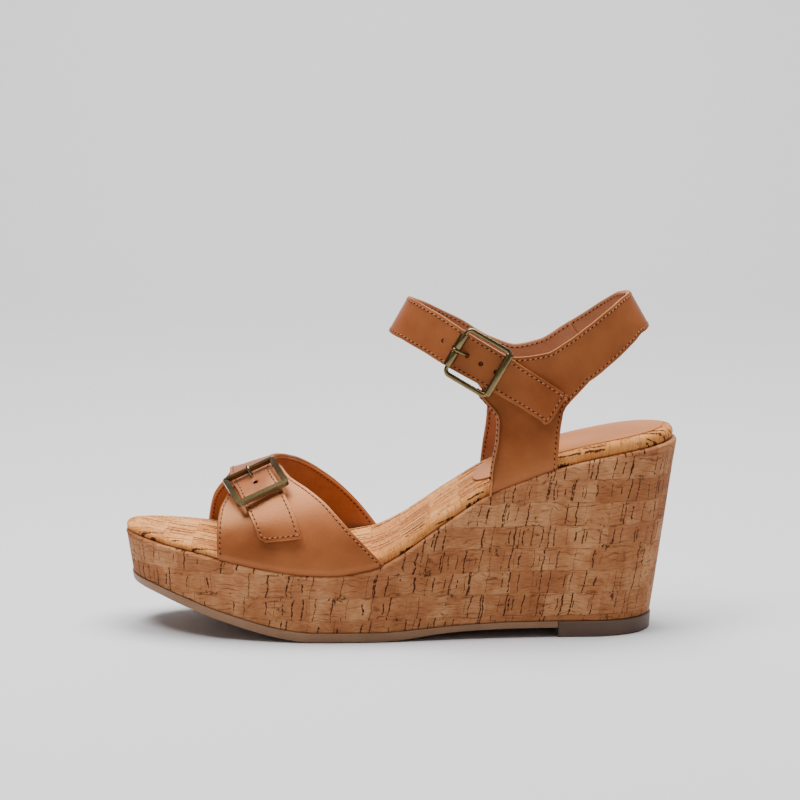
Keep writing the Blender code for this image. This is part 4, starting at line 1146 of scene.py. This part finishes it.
def repeat(name, template, places, slant, lift, slide):
    """One mesh of many copies of a template, each turned along its line."""
    mesh = bmesh.new()
    for at, along, normal in places:
        across = normal.cross(along).normalized()
        direction = (along + across * math.tan(math.radians(slant))).normalized()
        side = normal.cross(direction).normalized()
        before = len(mesh.verts)
        mesh.from_mesh(template.data)
        mesh.verts.ensure_lookup_table()
        move = Matrix.Translation(at + normal * lift + along * slide) @ turned(direction, side, normal)
        for vert in mesh.verts[before:]:
            vert.co = move @ vert.co
    data = bpy.data.meshes.new(name)
    mesh.to_mesh(data)
    mesh.free()
    obj = bpy.data.objects.new(name, data)
    bpy.context.scene.collection.objects.link(obj)
    return obj


thread_template = ball("thread_template", (1.45 * MM, 0.55 * MM, 0.5 * MM))
# A flat dark lens between stitches: painted shade for a needle hole.
hole_shade_template = ball("hole_shade_template", (1.3 * MM, 0.6 * MM, 0.18 * MM))


def sew(name, sheet, keep):
    """Threads, and flat dark lenses painted as the needle holes' shade, on both faces of a strap."""
    places = stitch_places(sheet, keep) + stitch_places(sheet, keep, inside=True)
    threads = repeat(name + "_stitches", thread_template, places, 9, 0.02 * MM, 0.0)
    finish_piece(threads, [thread])
    holes = repeat(name + "_painted_hole_shades", hole_shade_template, places, 14, 0.02 * MM, STITCH_PITCH / 2)
    finish_piece(holes, [needle_hole_shade])


# %% [markdown]
# ### Toe band
# The outer panel comes up from the feather line and ends under the buckle. The inner panel is
# wider: it crosses the foot, narrows to a tab and goes down through the buckle over the outer one.


# %% The vamp panels
def arch_outwards(point):
    return Vector((0, point.y, point.z - PLATFORM_HEIGHT))


def vamp_sheet(name, table, columns, rows, out, trim=None):
    """Lay a grid between a panel's front and rear edges."""
    start, end = table[0][0], table[-1][0]
    obj = add_grid(name, columns, rows)
    for vert in obj.data.vertices:
        u, v = vert.co.x, vert.co.y
        angle = mix(start, end, u)
        x = place_on_length(mix(smooth(table, angle, 1), smooth(table, angle, 2), v))
        if trim:
            angle += trim(v) * ease((u - 0.8) / 0.2)
        vert.co = tucked(vamp_skin(angle, x, out(angle)))
    return outward_sheet(obj, arch_outwards)


def vamp_trim(share):
    return VAMP_TAB_SLANT * share + VAMP_TAB_BEVEL * max(1 - share / VAMP_TAB_BEVEL_SHARE, 0.0)


def vamp_middle(angle):
    front, rear = smooth(VAMP_MEDIAL, angle, 1), smooth(VAMP_MEDIAL, angle, 2)
    return vamp_skin(angle, place_on_length((front + rear) / 2), vamp_tab_out(angle))


def vamp_frame(angle):
    """Middle of the tab, direction down it, and outward normal."""
    down = (vamp_middle(angle - 1) - vamp_middle(angle + 1)).normalized()
    front = vamp_skin(angle, place_on_length(smooth(VAMP_MEDIAL, angle, 1)))
    rear = vamp_skin(angle, place_on_length(smooth(VAMP_MEDIAL, angle, 2)))
    out = down.cross((rear - front).normalized()).normalized()
    return vamp_middle(angle), down, out if out.z > 0 else -out


def above_foot(point):
    return point.z > feather_height(point.x) + 0.5 * MM


lateral_sheet = vamp_sheet("lateral_sheet", VAMP_LATERAL, 60, 40, lambda angle: 0.0)
panel(lateral_sheet, "vamp_outer_panel", "vamp_outer_lining", "vamp_lateral")
sew("vamp_outer", lateral_sheet, above_foot)

medial_sheet = vamp_sheet("medial_sheet", VAMP_MEDIAL, 130, 36, vamp_tab_out, vamp_trim)
vamp_holes = []
for angle in VAMP_HOLE_ROUNDS:
    at, _, out = vamp_frame(angle)
    vamp_holes.append((at, out))
panel(medial_sheet, "vamp_inner_panel", "vamp_inner_lining", "vamp_medial", vamp_holes)
sew("vamp_inner", medial_sheet, above_foot)

# %% [markdown]
# ### Ankle straps and stays
# Each stay is cut in one piece with its strap, so it starts as the strap's grid, and the stay is
# extruded from the grid's lower edge. The inner one runs round the front to the buckle. The outer
# one runs round the heel, and is sewn over the inner one in a lapped seam.


# %% Strap and stay
def leg_outwards(point):
    return Vector((point.x - ANKLE_CENTRE, point.y, 0))


def stay_edge(stay, up, column, top_x):
    """X of a stay's edge: its own table below the waist, then a flare out to the strap's edge."""
    flare_start = stay[-1][0]
    if up <= flare_start:
        return place_on_length(smooth(stay, up, column))
    waist = place_on_length(stay[-1][column])
    return mix(waist, top_x, ((up - flare_start) / (1 - flare_start)) ** STAY_FLARE)


def strap_sheet(name, line, turns, columns, hang, out, slide, stay, side):
    """Lay a strap with its stay on the leg."""
    band_rows, stay_rows = 10, 14
    obj = add_grid(name, columns, band_rows)
    first, last = [(turn - turns[0]) / (turns[1] - turns[0]) for turn in hang]
    first, last = round(first * columns) / columns, round(last * columns) / columns
    pick(obj)
    bpy.ops.object.mode_set(mode="EDIT")
    bpy.ops.mesh.select_mode(type="EDGE")
    bpy.ops.mesh.select_all(action="DESELECT")
    mesh = bmesh.from_edit_mesh(obj.data)
    for edge in mesh.edges:
        low = all(vert.co.y < 1e-4 for vert in edge.verts)
        edge.select = low and all(first - 1e-4 < vert.co.x < last + 1e-4 for vert in edge.verts)
    bmesh.update_edit_mesh(obj.data)
    for _ in range(stay_rows):
        bpy.ops.mesh.extrude_edges_move(TRANSFORM_OT_translate={"value": (0, -1, 0)})
    bpy.ops.object.mode_set(mode="OBJECT")

    def on_band(u, v):
        turn = mix(turns[0], turns[1], u)
        offset = (v - 0.5) * STRAP_WIDTH * smooth(line, turn, 2)
        return strap_point(line, turn, offset, out(turn), side, slide(u, offset))

    hanging = [on_band(i / columns, 0.0) for i in range(round(first * columns), round(last * columns) + 1)]
    top_rear, top_front = hanging[0], hanging[-1]

    def low_edge(x):
        """Height of the strap's lower edge over a place along the foot."""
        for rear, front in zip(hanging, hanging[1:]):
            if front.x <= x <= rear.x:
                return mix(rear.z, front.z, (rear.x - x) / (rear.x - front.x))
        return top_rear.z if x > top_rear.x else top_front.z

    for vert in obj.data.vertices:
        u, v = vert.co.x, vert.co.y
        if v > -0.5:
            vert.co = on_band(u, v)
            continue
        up = 1 - (-v / stay_rows) ** STAY_CROWDING
        front = stay_edge(stay, up, 1, top_front.x)
        rear = stay_edge(stay, up, 2, top_rear.x)
        top = hanging[round((u - first) * columns)]
        x = mix(rear, front, (top.x - top_rear.x) / (top_front.x - top_rear.x))
        z = mix(feather_height(x), low_edge(x), up)
        vert.co = tucked(ankle_skin(turn_of(x, z, side), z))
    return outward_sheet(obj, leg_outwards)


# %% The inner stay and ankle strap
SEAM_LAP = 7.0
SEAM_RISE = 1.25 * MM
SEAM_LIFT_TURN = -56
SEAM_LIFT_SPAN = 8


def tab_slide(u, offset):
    """The tab's end is cut at a slant, with a round lower corner."""
    back = -TAB_SLANT * offset
    for corner, sign in ((TAB_CORNER, -1), (TAB_TIP, 1)):
        past = sign * offset - (STRAP_WIDTH / 2 - corner)
        if past > 0:
            back += corner - math.sqrt(max(corner ** 2 - past ** 2, 0.0))
    return -back * ease((u - 1 + TAB_SHARE) / TAB_SHARE)


ankle_turns = (SEAM_TURN - SEAM_LAP, ANKLE_LINE[-1][0])
ankle_sheet = strap_sheet("ankle_sheet", ANKLE_LINE, ankle_turns, 190, MEDIAL_HANG, ankle_out, tab_slide,
                          STAY_MEDIAL, 1)
ankle_holes = []
for i in range(-2, 3):
    turn = turn_along(ANKLE_LINE, BUCKLE_TURN, i * HOLE_PITCH)
    middle, _, _, out = strap_frame(ANKLE_LINE, turn)
    ankle_holes.append((middle, out))
panel(ankle_sheet, "ankle_strap_outer", "ankle_strap_lining", "ankle_strap", ankle_holes)


def clear_of_seam(point):
    """No stitches along the foot, nor along the end that the seam covers."""
    seam = ankle_skin(SEAM_TURN, point.z)
    return above_foot(point) and not (point.y > 0 and point.x > seam.x)


sew("ankle_strap", ankle_sheet, clear_of_seam)


# %% The outer quarter
def quarter_out(turn):
    """The quarter's end lies over the inner strap at the seam."""
    return SEAM_RISE * ease((SEAM_LIFT_TURN - turn) / SEAM_LIFT_SPAN)


quarter_turns = (-SEAM_TURN, QUARTER_LINE[-1][0])
quarter_sheet = strap_sheet("quarter_sheet", QUARTER_LINE, quarter_turns, 150, LATERAL_HANG, quarter_out,
                            lambda u, offset: 0.0, STAY_LATERAL, -1)
panel(quarter_sheet, "quarter_outer", "quarter_lining", "quarter_lateral")
sew("quarter", quarter_sheet, above_foot)

# %% [markdown]
# ## Buckles
# Both frames are cast plates with rounded edges. Each starts as a plane: its corners are bevelled,
# its inside is inset and taken out, and the rest is extruded and its edges rounded. The ankle
# buckle has a loose roller in two lengths on its front bar, with the pin between them.

# %% Buckle plates
FRAME_BAR = 2.4 * MM
VAMP_FRAME_LENGTH = 18.5 * MM
ANKLE_FRAME_LENGTH = 21.5 * MM
FRAME_CLEARANCE = 1 * MM
ROLLER_DIAMETER = 3.9 * MM
ROLLER_WALL = 0.45 * MM
PRONG_WIRE = 1.6 * MM
PRONG_REACH = 5.4 * MM
VAMP_PRONG_REACH = 4 * MM
PRONG_DIP = 0.5 * MM
VAMP_FRAME_LONGER = 0.9 * MM
VAMP_PIN_IN = 0.85 * MM
VAMP_CORNER = 1.9 * MM
VAMP_BARS = (1.5 * MM, 2.4 * MM, 2.4 * MM)
VAMP_THICK = 2.0 * MM
VAMP_CHAMFER = 0.6 * MM
VAMP_PIN_THICK = 0.8
ANKLE_SHORTER = 0.8 * MM
ANKLE_NARROWER = 0.6 * MM
ANKLE_SHIFT = 0.2 * MM
ANKLE_CORNER = 3.4 * MM
ANKLE_BARS = (1.8 * MM, 2.2 * MM, 2.2 * MM)
ANKLE_THICK = 2.1 * MM
ANKLE_ROUND = 0.8 * MM
HEAVY_BAR = (3.3 * MM, 21.5 * MM, 2.5 * MM)
HEAVY_BAR_OUT = 0.3 * MM
HEAVY_BAR_RISE = 0.1 * MM
HEAVY_BAR_ROUND = 1.05 * MM
ROLLER_SHORT = 3.4 * MM
ROLLER_ROUND = 0.12 * MM
frame_width = STRAP_WIDTH + 2 * FRAME_CLEARANCE + 2 * FRAME_BAR


def settle(obj, at, along, out):
    """Turn a mesh so that its X runs along a strap, its Y across it and its Z outwards."""
    obj.data.transform(Matrix.Translation(at) @ turned(along, out.cross(along).normalized(), out))


def buckle_plate(name, length, width, corner, bars, thick, edge, pin_thick=1.0, steps=4):
    """A frame round a strap. bars: widths of the first, last and side bars.

    pin_thick: thickness of the first bar, as a share of the plate's. steps: 1 for a chamfered
    edge, more for a round one.
    """
    deselect()
    bpy.ops.mesh.primitive_plane_add(size=1)
    obj = bpy.context.object
    obj.name = name
    obj.data.transform(Matrix.Diagonal((length, width, 1, 1)))
    bpy.ops.object.mode_set(mode="EDIT")
    bpy.ops.mesh.select_all(action="SELECT")
    bpy.ops.mesh.bevel(affect="VERTICES", offset=corner, segments=6, profile=0.5)
    bpy.ops.mesh.select_all(action="SELECT")
    bpy.ops.mesh.inset(thickness=bars[2], use_even_offset=True)
    mesh = bmesh.from_edit_mesh(obj.data)
    inner = [vert for vert in mesh.verts if vert.select]
    start, end = -length / 2 + bars[0], length / 2 - bars[1]
    low = min(vert.co.x for vert in inner)
    high = max(vert.co.x for vert in inner)
    for vert in inner:
        vert.co.x = mix(start, end, (vert.co.x - low) / (high - low))
    bmesh.update_edit_mesh(obj.data)
    bpy.ops.mesh.delete(type="FACE")
    bpy.ops.mesh.select_all(action="SELECT")
    bpy.ops.mesh.extrude_region_move(TRANSFORM_OT_translate={"value": (0, 0, thick)})
    bpy.ops.mesh.select_all(action="SELECT")
    bpy.ops.transform.translate(value=(0, 0, -thick / 2))
    bpy.ops.mesh.normals_make_consistent(inside=False)
    bpy.ops.object.mode_set(mode="OBJECT")
    for vert in obj.data.vertices:
        if vert.co.x < start + 0.1 * MM:
            vert.co.z *= pin_thick
    round_edges(obj, edge, steps)
    return obj


def bent_wire(name, points, radius, placed):
    """A round wire through points, from a curve with a bevel."""
    deselect()
    bpy.ops.curve.primitive_nurbs_path_add()
    obj = bpy.context.object
    obj.name = name
    spline = obj.data.splines[0]
    spline.points.add(len(points) - len(spline.points))
    for slot, point in zip(spline.points, points):
        slot.co = (*point, 1)
    spline.use_endpoint_u = True
    spline.order_u = 3
    spline.resolution_u = 6
    obj.data.bevel_depth = radius
    obj.data.bevel_resolution = 4
    obj.data.use_fill_caps = True
    bpy.ops.object.convert(target="MESH")
    obj = bpy.context.object
    settle(obj, *placed)
    tidy_mesh(obj)
    return obj


def pin_points(ring, reach, drop):
    """A pin: a ring round its bar, then a straight part that comes down to the strap."""
    points = [Vector((-ring * math.cos(math.radians(a)), 0, ring * math.sin(math.radians(a))))
              for a in (-70, -40, -10, 20, 50, 80)]
    points.append(Vector((ring * 0.6, 0, ring * 0.97)))
    points.append(Vector((reach * 0.62, 0, mix(ring, drop, 0.45))))
    points.append(Vector((reach * 0.86, 0, mix(ring, drop, 0.85))))
    points.append(Vector((reach, 0, drop - 0.7 * MM)))
    return points


# %% The vamp buckle
at, down, out = vamp_frame(VAMP_BUCKLE_ROUND)
lift_off = FRAME_BAR / 2 + SEAT_GAP
centre = at + out * lift_off
placed = (centre, down, out)
length = VAMP_FRAME_LENGTH + FRAME_BAR + VAMP_FRAME_LONGER
plate = buckle_plate("vamp_buckle", length, frame_width, VAMP_CORNER, VAMP_BARS, VAMP_THICK,
                     VAMP_CHAMFER, VAMP_PIN_THICK, 1)
plate.data.transform(Matrix.Translation((VAMP_FRAME_LONGER / 2, 0, 0)))
settle(plate, *placed)
finish_piece(plate, [antique_brass], ["vamp_buckle_frame"])
bar = centre - down * ((VAMP_FRAME_LENGTH + FRAME_BAR) / 2 - VAMP_PIN_IN)
pin = bent_wire("vamp_buckle_pin", pin_points(1.5 * MM, VAMP_PRONG_REACH - 0.6 * MM,
                                              PRONG_WIRE / 2 - FRAME_BAR / 2),
                0.7 * MM, (bar, down, out))
finish_piece(pin, [antique_brass], ["vamp_buckle_prong"])

# %% The ankle buckle
turn = turn_along(ANKLE_LINE, BUCKLE_TURN, ANKLE_FRAME_LENGTH / 2 - PRONG_REACH)
middle, along, _, out = strap_frame(ANKLE_LINE, turn)
lift_off = WALL + LAP_GAP + SEAT_GAP + ROLLER_DIAMETER / 2
centre = middle + out * lift_off
placed = (centre, along, out)
plate = buckle_plate("ankle_buckle", ANKLE_FRAME_LENGTH + FRAME_BAR - ANKLE_SHORTER,
                     frame_width - ANKLE_NARROWER, ANKLE_CORNER, ANKLE_BARS, ANKLE_THICK, ANKLE_ROUND)
plate.data.transform(Matrix.Translation((ANKLE_SHIFT, 0, 0)))
settle(plate, *placed)
finish_piece(plate, [antique_brass], ["ankle_buckle_frame"])

# The far bar is cast heavier, as a flat bar with round ends
deselect()
bpy.ops.mesh.primitive_cube_add(size=1)
heavy = bpy.context.object
heavy.name = "ankle_buckle_heavy_bar"
heavy.data.transform(Matrix.Diagonal((*HEAVY_BAR, 1)))
bar_end = (ANKLE_FRAME_LENGTH + FRAME_BAR - HEAVY_BAR[0]) / 2 + HEAVY_BAR_OUT
heavy.data.transform(Matrix.Translation((bar_end, 0, HEAVY_BAR_RISE)))
round_edges(heavy, HEAVY_BAR_ROUND, 5)
settle(heavy, *placed)
finish_piece(heavy, [antique_brass])

bar_at = (centre - along * ANKLE_FRAME_LENGTH / 2, along, out)
pin = bent_wire("ankle_buckle_pin", pin_points(ROLLER_DIAMETER / 2 - 0.75 * MM, PRONG_REACH,
                                               PRONG_WIRE / 2 - ROLLER_DIAMETER / 2 - PRONG_DIP),
                0.75 * MM, bar_at)
finish_piece(pin, [antique_brass], ["ankle_buckle_prong"])


def roller(name, start, end, replaced):
    """Half of the roller: a tube round the front bar."""
    deselect()
    bpy.ops.mesh.primitive_cylinder_add(vertices=32, radius=ROLLER_DIAMETER / 2, depth=end - start,
                                        end_fill_type="NOTHING")
    obj = bpy.context.object
    obj.name = name
    apply_modifier(obj, "SOLIDIFY", thickness=ROLLER_WALL, offset=-1)
    round_edges(obj, ROLLER_ROUND, 2)
    bar_middle, direction, normal = bar_at
    side = normal.cross(direction).normalized()
    half_middle = bar_middle + side * (start + end) / 2
    obj.data.transform(Matrix.Translation(half_middle) @ turned(direction, normal, -side))
    finish_piece(obj, [antique_brass], [replaced])


roller_inner = PRONG_WIRE / 2 + SEAT_GAP
roller_outer = (STRAP_WIDTH + 2 * FRAME_CLEARANCE + FRAME_BAR) / 2 - ROLLER_SHORT
roller("ankle_roller_low", -roller_outer, -roller_inner, "ankle_roller_lower")
roller("ankle_roller_high", roller_inner, roller_outer, "ankle_roller_upper")

# %% [markdown]
# ## Elastic
# A short ribbed elastic holds the ankle buckle to the outer quarter, so that the foot slips in
# without undoing the buckle. Its ribs run across it, about 0.9 mm apart, so they are real ridges.

# %% The elastic
GORE_TURNS = (238.0, 264.0)
GORE_WIDTH = 16 * MM
GORE_THICKNESS = 1.1 * MM
RIB_DEPTH = 0.14 * MM
RIBS = 34

gore = add_grid("elastic_web", RIBS * 6, 8)
for vert in gore.data.vertices:
    turn = mix(GORE_TURNS[0], GORE_TURNS[1], vert.co.x)
    rib = RIB_DEPTH * math.cos(2 * math.pi * RIBS * vert.co.x)
    offset = (vert.co.y - 0.5) * GORE_WIDTH
    vert.co = strap_point(ANKLE_LINE, turn, offset, -(WALL + SEAT_GAP) + rib)
outward_sheet(gore, leg_outwards)
apply_modifier(gore, "SOLIDIFY", thickness=GORE_THICKNESS, offset=-1)
finish_piece(gore, [elastic], ["elastic_gore"])

# %% Remove the sheets and templates
for obj in (lateral_sheet, medial_sheet, ankle_sheet, quarter_sheet, thread_template, hole_shade_template):
    bpy.data.objects.remove(obj)

# %% [markdown]
# ## Studio
# The photograph has a pale grey sweep and a large soft light overhead, so the footbed is bright,
# the near side is softly shaded, and a short shadow lies under the raised toe. A smaller box on
# the toe side gives the toe band its broad highlight. A curved sweep has no horizon line.

# %% Floor and backdrop
deselect()
bpy.ops.mesh.primitive_grid_add(x_subdivisions=2, y_subdivisions=90, size=1)
sweep = bpy.context.object
sweep.name = "paper_sweep"
SWEEP_FRONT, SWEEP_BACK, SWEEP_WIDTH, SWEEP_HEIGHT, SWEEP_BEND = -5.0, 1.4, 12, 2.4, 0.9
for vert in sweep.data.vertices:
    run = (vert.co.y + 0.5) * (SWEEP_BACK - SWEEP_FRONT + SWEEP_BEND * math.pi / 2 + SWEEP_HEIGHT)
    flat = SWEEP_BACK - SWEEP_FRONT
    if run < flat:
        y, z = SWEEP_FRONT + run, 0.0
    elif run < flat + SWEEP_BEND * math.pi / 2:
        angle = (run - flat) / SWEEP_BEND
        y, z = SWEEP_BACK + SWEEP_BEND * math.sin(angle), SWEEP_BEND * (1 - math.cos(angle))
    else:
        y, z = SWEEP_BACK + SWEEP_BEND, SWEEP_BEND + run - flat - SWEEP_BEND * math.pi / 2
    vert.co = (vert.co.x * SWEEP_WIDTH, y, z)
bpy.ops.object.shade_smooth()
paper, tree, shader = new_material("grey_paper")
shader.inputs["Base Color"].default_value = srgb("#D2D1D3")
shader.inputs["Roughness"].default_value = 0.9
sweep.data.materials.clear()
sweep.data.materials.append(paper)


# %% Lights
def soft_light(name, at, aim, size, power, spread=180):
    data = bpy.data.lights.new(name, "AREA")
    data.shape = "RECTANGLE"
    data.size, data.size_y = size
    data.energy = power
    data.spread = math.radians(spread)
    obj = bpy.data.objects.new(name, data)
    bpy.context.scene.collection.objects.link(obj)
    obj.location = at
    obj.rotation_euler = (Vector(aim) - Vector(at)).to_track_quat("-Z", "Y").to_euler()


soft_light("overhead", (0.1, 0.25, 1.5), (0, 0, 0.05), (1.2, 1.0), 52)
soft_light("toe_side_box", (-0.5, -0.3, 1.25), (-0.05, 0, 0.05), (0.5, 0.5), 13)
soft_light("front_fill", (-0.9, -1.6, 0.9), (0, 0, 0.06), (1.4, 1.0), 1.5)
soft_light("right_fill", (1.5, -0.7, 0.7), (0, 0, 0.06), (0.9, 0.9), 1.2)
soft_light("backdrop_wash", (0, 1.2, 2.2), (0, 2.3, 0.8), (2.6, 0.5), 33, 115)
world = bpy.data.worlds.new("studio_air")
world.use_nodes = True
world.node_tree.nodes["Background"].inputs[0].default_value = srgb("#F2F4F8")
world.node_tree.nodes["Background"].inputs[1].default_value = 0.17
bpy.context.scene.world = world
